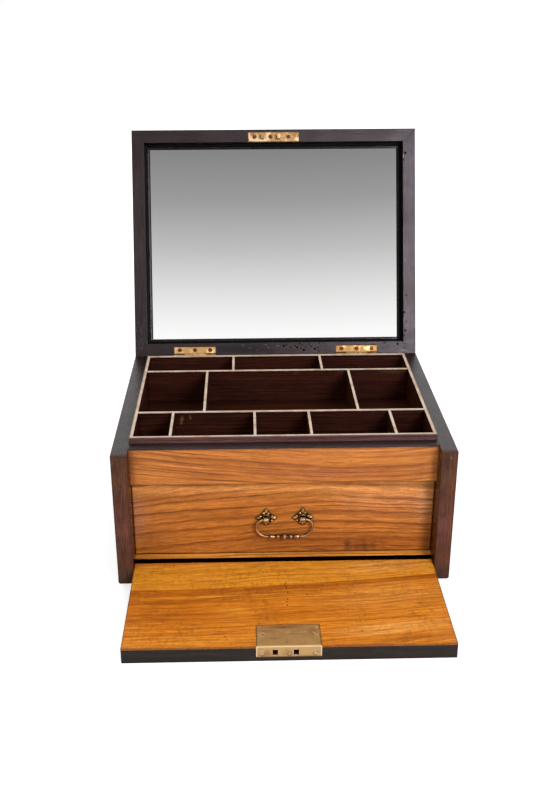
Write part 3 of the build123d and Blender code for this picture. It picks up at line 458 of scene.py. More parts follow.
@dataclass(frozen=True)
class Mark:
    """One patch of another colour on a board, placed in the board's own length and width.

    One that follows lies along the board's sweep, as a streak in the wood does. One that is sunk is a pit
    in the polish.
    """

    place: tuple[float, float]
    size: tuple[float, float]
    colour: Colour
    strength: float = 0.6
    ragged: float = 0.6
    firm: float = 0.0
    turn: float = 0.0
    follows: bool = False
    sunk: bool = False


Marks = tuple[Mark, ...]
Steps = tuple[int, int, int]


def marks(*rows: Sequence[float | Steps], **shared: float | bool) -> Marks:
    """Makes marks out of rows of a table.

    Args:
        *rows: each mark's place along and across its board, half its length and half its width, in
            millimetres, its paint in steps of 0 to 255, and then what else it has, in Mark's order.
        **shared: what all of them have.

    Returns:
        The marks.
    """
    return tuple(Mark((x * MM, y * MM), (long * MM, wide * MM), paint(*colour), *rest, **shared)
                 for x, y, long, wide, colour, *rest in rows)


@dataclass(frozen=True)
class Board:
    """How one board lies, so that its figure, its rims and its marks fall in their places.

    Its grain sweeps away from a straight line by slope at the middle and by bow, in turns per metre,
    towards its ends. Faces that look along its bare and shaded direction are left dull and unpolished, and on
    most boards their dark tone is painted shade for the grooves and gaps they face into.
    """

    name: str
    grain: Grain
    low: Place
    high: Place
    shift: float = 0.0
    slope: float = 0.0
    bow: float = 0.0
    marks: Marks = ()
    bare_and_shaded: Place | None = None

    @classmethod
    def of(cls, node: Object, grain: Grain, *layout: float | Marks,
           **named: float | Marks | Place) -> "Board":
        """Measures a board along its own length, width and thickness.

        Args:
            node: the board.
            grain: the way that its length runs.
            *layout: its shift, which makes no two boards alike, slope, bow, marks and bare and shaded
                     direction.
            **named: the same by their names.

        Returns:
            The board's layout.
        """
        turn = Euler(grain.value).to_matrix()
        corners = [turn @ vertex.co for vertex in node.data.vertices]
        low, high = (tuple(limit(corner[axis] for corner in corners) for axis in range(3))
                     for limit in (min, max))
        return cls(node.name, grain, low, high, *layout, **named)

    def sweep(self, graph: Graph, laid: NodeSocket) -> NodeSocket:
        """Straightens the board's sweep out of a point.

        Args:
            graph: the material's graph.
            laid: the point in the board's length, width and thickness.

        Returns:
            The point as it would lie on a straight-grained board.
        """
        if not self.slope and not self.bow:
            return laid
        along, across, depth = graph.split(laid)
        rise = graph.times(along, graph.more(self.slope, along, self.bow))
        return graph.gather(along, graph.less(across, rise), depth)

    def rim(self, graph: Graph, effects: Effects, laid: NodeSocket, reach: float) -> NodeSocket:
        """Finds how near a point of the board is to its rim.

        Args:
            graph: the material's graph.
            effects: the shared effects.
            laid: the point in the board's length, width and thickness.
            reach: how wide the rim is.

        Returns:
            Nothing away from the rim, and one on it.
        """
        return graph.use(effects.rim, vector=laid, low=self.low, high=self.high, reach=reach)[0]

    def mark(self, graph: Graph, effects: Effects, laid: NodeSocket, swept: NodeSocket,
             tone: NodeSocket) -> tuple[NodeSocket, Feed]:
        """Lays the board's marks over its colour.

        Args:
            graph: the material's graph.
            effects: the shared effects.
            laid: the point in the board's length and width.
            swept: the same point with the board's sweep straightened.
            tone: the colour so far.

        Returns:
            The colour with the marks on it, and where the pits are.
        """
        pits: Feed = 0.0
        flat = graph.vectors("MULTIPLY", laid, (1.0, 1.0, 0.0))
        drawn = graph.vectors("MULTIPLY", swept, (STREAK, 1.0, 0.0))
        for mark in self.marks:
            pull = STREAK if mark.follows else 1.0
            mask = graph.use(effects.patch, vector=drawn if mark.follows else flat,
                             centre=(mark.place[0] * pull, mark.place[1], 0.0),
                             size=(mark.size[0] * pull, mark.size[1], 1.0),
                             turn=mark.turn, ragged=mark.ragged, firm=mark.firm)[0]
            cover = graph.times(mask, mark.strength)
            tone = graph.blend(cover, tone, mark.colour)
            if mark.sunk:
                pits = graph.most(cover, pits)
        return tone, pits


@dataclass(frozen=True)
class Timber:
    """A cut and polished timber, whose bare faces may be dark and have no sheen at all; on most boards that
    dark is painted shade.
    """

    name: str
    ground: Colour
    stripe: Colour
    line: Colour
    worn: Colour
    pitch: float = 0.0035
    wander: float = 0.004
    reach: float = 0.08
    ripple: float = 0.0008
    stripe_depth: float = 0.9
    line_depth: float = 0.6
    fibre_depth: float = 0.3
    pore_depth: float = 0.35
    fleck_depth: float = 0.12
    # The rim darkens a board towards its edges and ends: partly dirt, and partly painted shade at the edges
    # and in the gaps beside them.
    rim: Colour = (0.02, 0.01, 0.005)
    rim_reach: float = 0.003
    rim_dirt_and_shade_depth: float = 0.5
    wear: float = 0.4
    roughness: float = 0.38
    relief: float = 0.00006
    sheen_level: float = 0.5
    coat: float = 0.1
    coat_roughness: float = 0.2
    # Bare faces: bare wood on the case's sides, and on other boards painted shade, near black and without
    # sheen, where they face into grooves and gaps.
    raw: Colour = (0.002, 0.001, 0.0008)
    bare_and_shade_roughness: float = 1.0
    bare_and_shade_sheenless: bool = True

    def make(self, board: Board, effects: Effects) -> Material:
        """Makes this timber for one board.

        Args:
            board: how the board lies.
            effects: the shared effects.

        Returns:
            The board's material.
        """
        material, graph = new_material(f"{self.name}_{board.name}")
        place = graph.place()
        laid = graph.turn(place, board.grain.value)
        swept = board.sweep(graph, laid)
        shifted = graph.vectors("ADD", swept, (board.shift, board.shift, 0.0))
        figure = graph.use(effects.figure, vector=shifted, pitch=self.pitch, wander=self.wander,
                           reach=self.reach, ripple=self.ripple)
        handling = graph.use(effects.handling, vector=shifted)
        arris = graph.use(effects.arris, vector=place, amount=self.wear)
        tone = graph.wash(self.ground, self.stripe, figure["Stripe"], self.stripe_depth)
        tone, sheenless = board.mark(graph, effects, laid, swept, tone)
        for part, depth, kind in (("Line", self.line_depth, "MIX"), ("Pore", self.pore_depth, "MIX"),
                                  ("Fibre", self.fibre_depth, "MULTIPLY"),
                                  ("Fleck", self.fleck_depth, "MULTIPLY")):
            tone = graph.wash(tone, self.line, figure[part], depth, kind)
        # Darkens the rim: dirt, and painted shade at the board's edges and in the gaps beside them.
        tone = graph.wash(tone, self.rim, board.rim(graph, effects, laid, self.rim_reach), self.rim_dirt_and_shade_depth)
        tone = graph.blend(arris["Wear"], tone, self.worn)
        dull = graph.more(self.roughness, handling["Smudge"], 0.12)
        dull = graph.more(dull, handling["Scratch"], 0.15)
        # Bare faces turn dark and dull: bare wood on the sides, painted shade on faces that look into grooves
        # and gaps.
        if board.bare_and_shaded:
            bare_and_shaded = graph.level(graph.vectors("DOT_PRODUCT", graph.facing(), board.bare_and_shaded), 0.6, 0.9)
            tone = graph.blend(bare_and_shaded, tone, self.raw)
            dull = graph.most(dull, graph.times(bare_and_shaded, self.bare_and_shade_roughness))
            if self.bare_and_shade_sheenless:
                sheenless = graph.most(bare_and_shaded, sheenless)
        height = graph.more(graph.times(figure["Pore"], -0.6), figure["Fibre"], -0.35)
        height = graph.more(height, handling["Swell"], 6.0)
        height = graph.more(height, handling["Scratch"], -0.8)
        relief = graph.relief(height, self.relief, arris["Normal"])
        graph.cover(tone, dull, sheenless, normal=relief, specular_ior_level=self.sheen_level,
                    coat_weight=self.coat, coat_roughness=self.coat_roughness, coat_normal=relief)
        return material


@dataclass(frozen=True)
class Brass:
    """A brass, from freshly rubbed to dark with age.

    Rubbed gives how far forward, along Y, the metal is dark and where it turns bright. The dark rear is
    painted shade, and the bright front is partly rubbed by hands and partly a painted highlight; the
    rear shade says how dark the rear is painted.
    """

    name: str
    bright: Colour
    aged: Colour
    stain: Colour
    spread: float = 0.5
    depth: float = 0.6
    roughness: float = 0.3
    brushing: float = 0.12
    lines: float = 0.2
    relief: float = 0.00003
    rounding: float = 0.0003
    polish: float = 0.6
    shade_reach: float = 0.0015
    shade: float = 0.8
    # The rim darkens a plate's edges: painted shade in the gap round it.
    rim_reach: float = 0.0006
    rim_dirt_and_shade_depth: float = 0.0
    # Painted shade behind and a painted highlight in front, with wear where hands rub.
    rubbed: tuple[float, float] | None = None
    painted_rear_shade: float = 0.85

    def make(self, effects: Effects, *boards: Board) -> Material:
        """Makes this brass, whose pattern runs on from piece to piece.

        Args:
            effects: the shared effects.
            *boards: how a plate with marks of its own lies. Each of several marks the faces that lie its way.

        Returns:
            The metal's material.
        """
        material, graph = new_material(f"{self.name}_{boards[0].name}" if boards else self.name)
        place = graph.place()
        tarnish = graph.use(effects.tarnish, vector=place, spread=self.spread)
        handling = graph.use(effects.handling, vector=place)
        arris = graph.use(effects.arris, vector=place, radius=self.rounding, amount=self.polish)
        hollow = graph.node("AmbientOcclusion", {"Distance": self.shade_reach}, samples=6).outputs["AO"]
        tone = graph.wash(self.bright, self.aged, tarnish["Cloud"], self.depth)
        tone = graph.wash(tone, self.aged, tarnish["Brushing"], self.lines, "MULTIPLY")
        tone = graph.wash(tone, self.stain, tarnish["Spot"], self.depth)
        tone = graph.wash(tone, self.stain, graph.level(hollow, 0.9, 0.4), self.shade)
        tone = graph.blend(arris["Wear"], tone, self.bright)
        for board in boards:
            laid = graph.turn(place, board.grain.value)
            marked, _ = board.mark(graph, effects, laid, laid, tone)
            # Painted shade along the plate's edges.
            marked = graph.wash(marked, self.stain, board.rim(graph, effects, laid, self.rim_reach),
                                self.rim_dirt_and_shade_depth)
            if len(boards) > 1:
                facing = graph.split(graph.turn(graph.facing(), board.grain.value))[2]
                marked = graph.blend(graph.level(facing, 0.5, 0.8), tone, marked)
            tone = marked
        # Painted shade towards the back, and a front that is a painted highlight as well as metal rubbed
        # bright.
        if self.rubbed:
            front = graph.level(graph.split(place)[1], *self.rubbed)
            tone = graph.blend(front, graph.blend(self.painted_rear_shade, tone, self.stain), tone)
        dull = graph.more(self.roughness, tarnish["Brushing"], self.brushing)
        dull = graph.more(dull, tarnish["Cloud"], 0.18 * self.depth)
        height = graph.more(tarnish["Brushing"], tarnish["Spot"], -1.0)
        height = graph.more(height, handling["Scratch"], -1.0)
        graph.cover(tone, dull, 1.0, normal=graph.relief(height, self.relief, arris["Normal"]))
        return material


@dataclass(frozen=True)
class Silvering:
    """Old plate glass silvered on its back, with faint foxing near its edges."""

    name: str = "silvered_glass"
    silver: Colour = (0.96, 0.96, 0.955)
    foxing: Colour = (0.42, 0.4, 0.36)
    foxing_reach: float = 0.004
    foxing_depth: float = 0.35
    roughness: float = 0.015

    def make(self, board: Board, effects: Effects) -> Material:
        """Makes the silvering for one plate of glass.

        Args:
            board: how the plate lies.
            effects: the shared effects.

        Returns:
            The glass's material.
        """
        material, graph = new_material(self.name)
        laid = graph.turn(graph.place(), board.grain.value)
        specks = graph.use(effects.handling, vector=laid)["Speck"]
        loss = graph.times(board.rim(graph, effects, laid, self.foxing_reach), graph.more(0.4, specks, 0.6))
        graph.cover(graph.wash(self.silver, self.foxing, loss, self.foxing_depth), self.roughness, 1.0)
        return material


@dataclass(frozen=True)
class Capping:
    """Pale wood laid on the top edges of the tray's walls, with dirt in its grain."""

    edge_depth: float
    name: str = "pale_capping"
    pale: Colour = paint(208, 190, 166)
    warm: Colour = paint(184, 152, 120)
    dirt: Colour = paint(112, 80, 58)
    edge: Colour = paint(70, 42, 30)
    edge_reach: float = 0.0013
    rounding: float = 0.0005
    wear: float = 0.9
    relief: float = 0.00005
    roughness: float = 0.5

    def make(self, board: Board, effects: Effects) -> Material:
        """Makes the capping for one piece.

        Args:
            board: how the capping lies.
            effects: the shared effects.

        Returns:
            The capping's material.
        """
        material, graph = new_material(self.name)
        place = graph.place()
        tone = graph.blend(graph.level(graph.noise(place, 70.0, 4.0, 0.6), 0.4, 0.7), self.pale, self.warm)
        grime = graph.level(graph.strands(place, (140.0, 300.0, 300.0), 4.0, 0.7), 0.56, 0.72)
        tone = graph.wash(tone, self.dirt, grime, 0.5)
        tone = graph.wash(tone, self.dirt, graph.use(effects.handling, vector=place)["Speck"], 0.7)
        tone = graph.wash(tone, self.edge, board.rim(graph, effects, place, self.edge_reach), self.edge_depth)
        arris = graph.use(effects.arris, vector=place, radius=self.rounding, amount=self.wear)
        tone = graph.blend(arris["Wear"], tone, self.dirt)
        graph.cover(tone, self.roughness, 0.0, normal=graph.relief(grime, self.relief, arris["Normal"]))
        return material


EBONISED = Timber("ebonised", paint(50, 31, 27), paint(24, 17, 16), paint(12, 7, 6), paint(112, 84, 66),
                  line_depth=0.4, fibre_depth=0.45, pore_depth=0.5, fleck_depth=0.0, rim_dirt_and_shade_depth=0.0,
                  wear=0.45, roughness=0.31, relief=0.00008, sheen_level=0.42, coat=0.0)
POLISHED_BLACK = replace(EBONISED, name="polished_black", roughness=0.24, sheen_level=0.5,
                         raw=paint(60, 26, 14), bare_and_shade_roughness=0.2, bare_and_shade_sheenless=False,
                         worn=paint(160, 138, 122), wear=0.7)
FALL_BLACK = replace(EBONISED, name="fall_black", ground=paint(44, 34, 22), stripe=paint(22, 19, 13),
                     sheen_level=0.24)
MOULDED_BLACK = replace(EBONISED, name="moulded_black", ground=paint(12, 6, 5), stripe=paint(6, 3, 3),
                        roughness=0.38, sheen_level=0.07)
ROSEWOOD = Timber("rosewood", paint(104, 61, 38), paint(74, 42, 26), paint(44, 20, 12), paint(140, 98, 74),
                  pitch=0.0024, wander=0.001, reach=0.07, stripe_depth=0.6, line_depth=0.25,
                  fibre_depth=0.5, pore_depth=0.6, rim_dirt_and_shade_depth=0.35, rim_reach=0.002,
                  wear=0.35, roughness=0.4, sheen_level=0.2, coat=0.0)
SATINWOOD = Timber("satinwood", paint(218, 142, 56), paint(166, 96, 34), paint(126, 68, 20),
                   paint(236, 170, 96), pitch=0.0054, wander=0.0028, reach=0.1, ripple=0.0006,
                   stripe_depth=0.85, fibre_depth=0.42, rim=paint(52, 22, 6), rim_reach=0.0014,
                   rim_dirt_and_shade_depth=0.6, sheen_level=0.3, coat=0.05)
# The slip's bare front face is painted near black: painted shade in the gap in front of it.
SLIP_SATINWOOD = replace(SATINWOOD, name="slip_satinwood", rim_dirt_and_shade_depth=0.0, ground=paint(255, 184, 80),
                         stripe=paint(204, 128, 48), sheen_level=0.06, coat=0.0, raw=paint(24, 5, 2))
DRAWER_SATINWOOD = replace(SATINWOOD, name="drawer_satinwood", ground=paint(212, 137, 54),
                           stripe=paint(164, 96, 32), line=paint(118, 64, 18), pitch=0.006, wander=0.0026,
                           ripple=0.001, line_depth=0.68, fibre_depth=0.52)
LINING = replace(SATINWOOD, name="satinwood_lining", ground=paint(238, 152, 42), stripe=paint(188, 106, 18),
                 line=paint(124, 62, 8), pitch=0.0052, wander=0.003, ripple=0.0004, stripe_depth=0.75,
                 line_depth=0.3, fibre_depth=0.5, fleck_depth=0.34, sheen_level=0.22, coat=0.0)
CARCASE = Timber("carcase", paint(150, 104, 70), paint(126, 82, 54), paint(92, 56, 36), paint(178, 134, 98),
                 pitch=0.006, line_depth=0.5, rim=paint(70, 46, 32), roughness=0.62, coat=0.0, wear=0.2,
                 sheen_level=0.2)
TRAY_WOOD = Timber("tray_wood", paint(72, 33, 18), paint(44, 15, 7), paint(16, 3, 1), paint(96, 62, 44),
                   pitch=0.003, wander=0.001, fibre_depth=0.5, pore_depth=0.6, fleck_depth=0.0,
                   rim=paint(10, 3, 1), rim_dirt_and_shade_depth=0.6, wear=0.3, roughness=0.5, coat=0.0, sheen_level=0.12)
# The tray's front wall is given a lighter, mauve tone: a painted sheen.
PAINTED_SHEEN_TRAY_WOOD = replace(TRAY_WOOD, name="faded_tray_wood", ground=paint(116, 78, 74),
                          stripe=paint(86, 54, 50), line=paint(44, 22, 18), rim_dirt_and_shade_depth=0.3, sheen_level=0.3)

# The rim on hinge leaves and on the lock's plate is painted shade in the gap round them.
BRIGHT_BRASS = Brass("bright_brass", paint(238, 208, 142), paint(172, 132, 72), paint(74, 36, 14),
                     spread=0.6, depth=0.75, roughness=0.4, rim_dirt_and_shade_depth=0.9, rim_reach=0.0013)
# A lighter copy of the bright brass for the left hinges: painted light, where the lamps fall weaker.
LIT_LEFT_BRASS = replace(BRIGHT_BRASS, name="worn_brass", bright=paint(254, 226, 162), aged=paint(196, 154, 92))
LINK_BRASS = replace(BRIGHT_BRASS, name="link_brass", bright=paint(236, 212, 162), spread=0.55)
AGED_BRASS = Brass("aged_brass", paint(212, 182, 122), paint(172, 140, 90), paint(54, 32, 16), spread=0.4,
                   depth=0.2, roughness=0.4, brushing=0.2, lines=0.4, relief=0.000005, polish=0.5)
LOCK_BRASS = replace(AGED_BRASS, name="lock_brass", rim_dirt_and_shade_depth=0.85, rim_reach=0.0013)
LOCK_SCREW_BRASS = replace(AGED_BRASS, name="lock_screw_brass", bright=paint(226, 196, 148), depth=0.4,
                           spread=0.5, shade=0.35, polish=1.0)
SCREW_BRASS = Brass("screw_brass", paint(166, 110, 66), paint(88, 50, 28), paint(30, 14, 8), spread=0.75,
                    roughness=0.4, shade=0.75)
ANTIQUE_BRASS = Brass("antique_brass", paint(240, 206, 156), paint(140, 98, 58), paint(24, 12, 6),
                      spread=0.55, roughness=0.26, polish=0.9, shade_reach=0.003, shade=0.95)


# --------------------------------------------------------------------------------------- modelling bench
class Element(Enum):
    """What a selection on the bench picks."""

    VERT = "VERT"
    EDGE = "EDGE"
    FACE = "FACE"


class Bench:
    """The modelling bench: holds one mesh at a time and works on it with Blender's operators."""

    @staticmethod
    def close() -> None:
        """Leaves edit mode."""
        bpy.ops.object.mode_set(mode="OBJECT")

    @staticmethod
    def clear() -> None:
        """Leaves edit mode and deselects every object."""
        if bpy.context.object and bpy.context.object.mode != "OBJECT":
            Bench.close()
        bpy.ops.object.select_all(action="DESELECT")

    @staticmethod
    def hold(piece: Object) -> None:
        """Selects one piece alone and makes it the active one.

        Args:
            piece: what is selected.
        """
        Bench.clear()
        piece.select_set(True)
        bpy.context.view_layer.objects.active = piece

    @staticmethod
    def pick(piece: Object, element: Element, test: Callable[[Vector], bool]) -> None:
        """Opens a mesh and selects its parts by their place.

        Args:
            piece: the mesh's object.
            element: whether corners, edges or faces are picked.
            test: takes the middle of each and says whether it is picked.
        """
        Bench.hold(piece)
        mesh = piece.data
        parts = {Element.VERT: mesh.vertices, Element.EDGE: mesh.edges, Element.FACE: mesh.polygons}
        for kind in parts.values():
            kind.foreach_set("select", [False] * len(kind))
        for part in parts[element]:
            if element is Element.VERT:
                middle = part.co
            elif element is Element.EDGE:
                middle = (mesh.vertices[part.vertices[0]].co + mesh.vertices[part.vertices[1]].co) / 2
            else:
                middle = part.center
            part.select = test(middle)
        bpy.ops.object.mode_set(mode="EDIT")
        bpy.ops.mesh.select_mode(type=element.value)

    @staticmethod
    def stretch(piece: Object, value: Place, test: Callable[[Vector], bool] = lambda at: True) -> None:
        """Moves corners nearer to the origin or further from it.

        Args:
            piece: the mesh's object.
            value: what their places are multiplied by.
            test: takes the place of each and says whether it moves.
        """
        Bench.pick(piece, Element.VERT, test)
        bpy.ops.transform.resize(value=value, center_override=ORIGIN)
        Bench.close()

    @staticmethod
    def raise_faces(piece: Object, height: float, *steps: tuple[float, float]) -> None:
        """Thickens a flat piece.

        Args:
            piece: the flat piece.
            height: how far its face is raised.
            *steps: how far in and how far up each further step of the face goes.
        """
        Bench.pick(piece, Element.FACE, lambda at: True)
        bpy.ops.mesh.extrude_region_move(TRANSFORM_OT_translate={"value": (0, 0, height)})
        for inwards, up in steps:
            bpy.ops.mesh.inset(thickness=inwards, depth=up)
        Bench.close()

    @staticmethod
    def bake(piece: Object) -> None:
        """Writes a piece's place, turn and scale into its mesh."""
        Bench.hold(piece)
        bpy.ops.object.transform_apply(location=True, rotation=True, scale=True)

    @staticmethod
    def copy(piece: Object, name: str, turn: Matrix) -> Object:
        """Copies a piece with a mesh of its own.

        Args:
            piece: what is copied.
            name: the copy's name.
            turn: the move that the copy's mesh takes.

        Returns:
            The copy.
        """
        Bench.hold(piece)
        bpy.ops.object.duplicate(linked=False)
        made = bpy.context.object
        made.name = name
        made.matrix_world = turn
        Bench.bake(made)
        return made

    @staticmethod
    def join(pieces: Sequence[Object], name: str) -> Object:
        """Joins pieces into the first of them.

        Args:
            pieces: what is joined.
            name: what the whole is called.

        Returns:
            The whole.
        """
        Bench.hold(pieces[0])
        for piece in pieces[1:]:
            piece.select_set(True)
        bpy.ops.object.join()
        pieces[0].name = name
        return pieces[0]

    @staticmethod
    def finish(piece: Object, angle: float = 40.0) -> None:
        """Merges doubles, points the faces outwards and smooths a piece.

        Args:
            piece: what is finished.
            angle: the sharpest edge that is smoothed, in degrees.
        """
        Bench.bake(piece)
        bpy.ops.object.mode_set(mode="EDIT")
        bpy.ops.mesh.select_all(action="SELECT")
        bpy.ops.mesh.remove_doubles(threshold=0.000001)
        bpy.ops.mesh.normals_make_consistent(inside=False)
        Bench.close()
        bpy.ops.object.shade_smooth_by_angle(angle=math.radians(angle))

    @staticmethod
    def soften(piece: Object, levels: int) -> None:
        """Subdivides a piece into a rounded form and applies the result.

        Args:
            piece: what is rounded.
            levels: how many times it is subdivided.
        """
        Bench.hold(piece)
        rounded = piece.modifiers.new("round", "SUBSURF")
        rounded.levels = rounded.render_levels = levels
        bpy.ops.object.modifier_apply(modifier=rounded.name)


# ------------------------------------------------------------------------------------------ sub-assemblies
@dataclass
class Assembly:
    """A sub-assembly: the model's nodes, and the effects that its finishes share."""

    nodes: Nodes
    effects: Effects

    def finish(self, name: str, finish: Timber | Silvering | Capping, grain: Grain, *layout: float | Marks,
               **named: float | Marks | Place) -> None:
        """Finishes one board.

        Args:
            name: the board's node.
            finish: what it is finished in.
            grain: the way that its length runs.
            *layout: its shift, slope, bow, marks and bare and shaded direction.
            **named: the same by their names.
        """
        board = Board.of(self.nodes[name], grain, *layout, **named)
        put_on(self.nodes[name], finish.make(board, self.effects))


@dataclass
class CaseBody(Assembly):
    """The carcase: sides, back, base, the fixed front board and the well floor."""

    sides: tuple[tuple[str, float, Place], ...] = (("left", 0.0, RIGHT), ("right", 0.7, LEFT))
    lipping_middle: float = 143.0

    def dress(self) -> None:
        """Finishes every board of the case."""
        across, flat = Grain.ACROSS_UPRIGHT, Grain.ACROSS_FLAT
        for side, shift, inward in self.sides:
            self.finish(f"side_{side}", POLISHED_BLACK, Grain.BACK_UPRIGHT, shift, bare_and_shaded=inward)
            self.finish(f"side_lipping_{side}", ROSEWOOD, Grain.UP, shift + 0.3,
                        marks=self._lipping_marks(side))
        # The bare faces below are painted dark: painted shade in the gaps that they face.
        self.finish("back_board", EBONISED, across, 1.1, bare_and_shaded=FORWARD)
        self.finish("front_board", EBONISED, across, 1.7, bare_and_shaded=DOWN)
        self.finish("front_board_facing", SATINWOOD, across, 0.0, -0.055, 0.36, self._facing_marks(), DOWN)
        self.finish("base_front_slip", SLIP_SATINWOOD, flat, 2.3, bare_and_shaded=FORWARD)
        self.finish("base_board", CARCASE, flat, 0.4, bare_and_shaded=FORWARD)
        self.finish("well_floor", CARCASE, flat, 0.9)
        put_on(self.nodes["fall_pivot_pins"], SCREW_BRASS.make(self.effects))
        LOG.info("case dressed")

    def _lipping_marks(self, side: str) -> Marks:
        """Places the faded and darkened lengths of one lipping.

        Args:
            side: left or right.

        Returns:
            The marks, placed by their height and their place across the box.
        """
        olive, mauve, dusk = (92, 62, 34), (112, 66, 58), (70, 50, 34)
        deep, russet = (56, 26, 16), (134, 78, 46)
        middle = self.lipping_middle if side == "left" else -self.lipping_middle
        patches = ((116, 3, 10, deep, 0.6), (88, 4, 13, deep, 0.5), (101, -5, 18, russet, 0.3),
                   (66, 3, 6, deep, 0.45), (56, -3, 14, russet, 0.3), (46, 5, 6, deep, 0.4),
                   (33, 1, 12, deep, 0.4), (19, -4, 10, russet, 0.25))
        found = marks((-105, middle, 34, 20, olive, 0.55), (-55, middle, 30, 20, mauve, 0.5),
                      (-4, middle, 20, 20, dusk, 0.7), (-128, middle, 7, 20, dusk))
        found += marks(*((-height, middle + aside, long, 5, tone, strength)
                         for height, aside, long, tone, strength in patches), ragged=1.8)
        if side == "right":
            found += marks((-122, middle + 3, 9, 6, deep, 0.7, 1.2),
                           (-115, middle + 2, 11, 1.2, deep, 0.7, 0.6, 0.0, 0.3),
                           (-123, middle - 1, 2.2, 1.6, (126, 106, 78), 0.6, 1.2, 0.3))
        return found

    @staticmethod
    def _facing_marks() -> Marks:
        """Places the streaks of the front board's veneer, a greyer patch, and painted shade over its middle
        and at its left end.

        Returns:
            The marks.
        """
        brown, gold = (120, 62, 18), (246, 168, 80)
        streaks = marks((-85, 98.5, 60, 1.4, brown, 0.85), (-80, 116.3, 55, 1, brown, 0.7),
                        (-100, 106.5, 50, 0.9, brown, 0.65), (-60, 92.5, 50, 1.2, brown, 0.75),
                        (70, 125.5, 90, 2.2, gold, 0.6), (-90, 103, 50, 1.4, gold, 0.5),
                        ragged=0.8, firm=0.1, follows=True)
        # After the greyer patch come a darker middle, which is painted shade, and a dark left end, which is
        # painted shade with some dirt.
        return streaks + marks((30, 102, 70, 9, (176, 108, 66), 0.55), (10, 113, 70, 20, (176, 104, 44), 0.4),
                               (-135.5, 110, 7.5, 40, (96, 52, 24), 0.75, 0.5))


@dataclass
class Lid(Assembly):
    """The lid: four rails, the panel, the moulding that holds the mirror, and the mirror."""

    hinge_line: tuple[float, float] = (119.0, 128.7)

    def dress(self) -> None:
        """Finishes the rails, the panel, the moulding and the mirror."""
        across, up = Grain.LID_ACROSS, Grain.LID_UP
        rise = (0.0, math.sin(LID_LEAN), math.cos(LID_LEAN))
        sink = (0.0, -rise[1], -rise[2])
        # The rails' faces that look into the lid are painted near black without sheen: painted shade in the
        # grooves round the mirror.
        for name, grain, shift, bare_and_shaded in (("rail_back", across, 0.2, rise), ("rail_front", across, 0.8, sink),
                                         ("rail_left", up, 1.3, RIGHT), ("rail_right", up, 1.9, LEFT),
                                         ("panel", across, 2.4, None)):
            self.finish(f"lid_{name}", EBONISED, grain, shift, marks=self._marks(name), bare_and_shaded=bare_and_shaded)
        self.finish("mirror_moulding", MOULDED_BLACK, across, 2.9)
        self.finish("mirror_backboard", CARCASE, across, 0.5)
        self.finish("mirror_glass", Silvering(), across)
        LOG.info("lid dressed")

    def _marks(self, name: str) -> Marks:
        """Places the pits, the rubbed places and a dark patch, which is a painted dark reflection, on one
        board of the lid.

        Args:
            name: the board, without the lid's name before it.

        Returns:
            The marks.
        """
        pale, brown, dark_reflection = (150, 136, 132), (70, 44, 36), (10, 5, 5)
        foot = self.hinge_line[0] * math.sin(LID_LEAN) + self.hinge_line[1] * math.cos(LID_LEAN)
        if name == "rail_back":
            pits = ((8.5, 9.5), (11.2, 10.8), (15.8, 8), (20.8, 9.2), (23, 7.5), (25.5, 11.5), (28.2, 10),
                    (27.2, 6.5), (30, 4.8), (32.2, 8), (35.8, 11), (38.2, 8.5), (41.8, 6), (45.2, 7.2),
                    (45.8, 3.5), (46.2, 11.8), (130.8, 10), (116.5, 11.5))
            rubbed = ((-35, 10.5, 2), (-27.5, 7.5, 2.6), (-20, 5.2, 2), (-10.5, 10.8, 2.6), (-8, 7.8, 1.8),
                      (2, 9.5, 3))
            # The long near-black patch near the hinge is a painted dark reflection; its sunk copy also dulls
            # the polish there.
            found = (marks((-30, foot + 6.5, 100, 8.5, dark_reflection, 0.8, 0.8))
                     + marks((-10, foot + 6.5, 90, 8.5, dark_reflection, 0.35, 0.9), sunk=True)
                     + marks(*((x, foot + up, wide, 0.6, pale, 0.42, 1.2, 0.3) for x, up, wide in rubbed))
                     + marks((20, foot + 7, 50, 6, brown, 0.4, 1.0)))
            places = [(x, foot + up) for x, up in pits]
        elif name == "rail_right":
            pits = ((138, 44), (136.6, 40.2), (140, 34), (136.2, 25.8), (139, 24.5), (137.6, 19.2),
                    (136.3, 11.8), (140.2, 62), (139.6, 212.5), (137.5, 205.5))
            found = marks((foot + 60, -138, 70, 12, (96, 72, 70), 0.35),
                          (foot + 209.5, -137.2, 2.6, 1.8, (150, 138, 138), 0.8, 1.4, 0.3))
            places = [(foot + up, -x) for x, up in pits]
        elif name == "rail_left":
            return marks(*((foot + up, -x, 6, 1.6, brown, 0.5, 1.0)
                           for x, up in ((-139, 200), (-139.5, 130), (-138.5, 70))))
        else:
            return ()
        sizes = (1.1 if index % 4 else 1.7 for index in range(len(places)))
        return found + marks(*((*place, size, size, (4, 1, 1), 1.0, 0.8, 0.5)
                               for place, size in zip(places, sizes)), sunk=True)


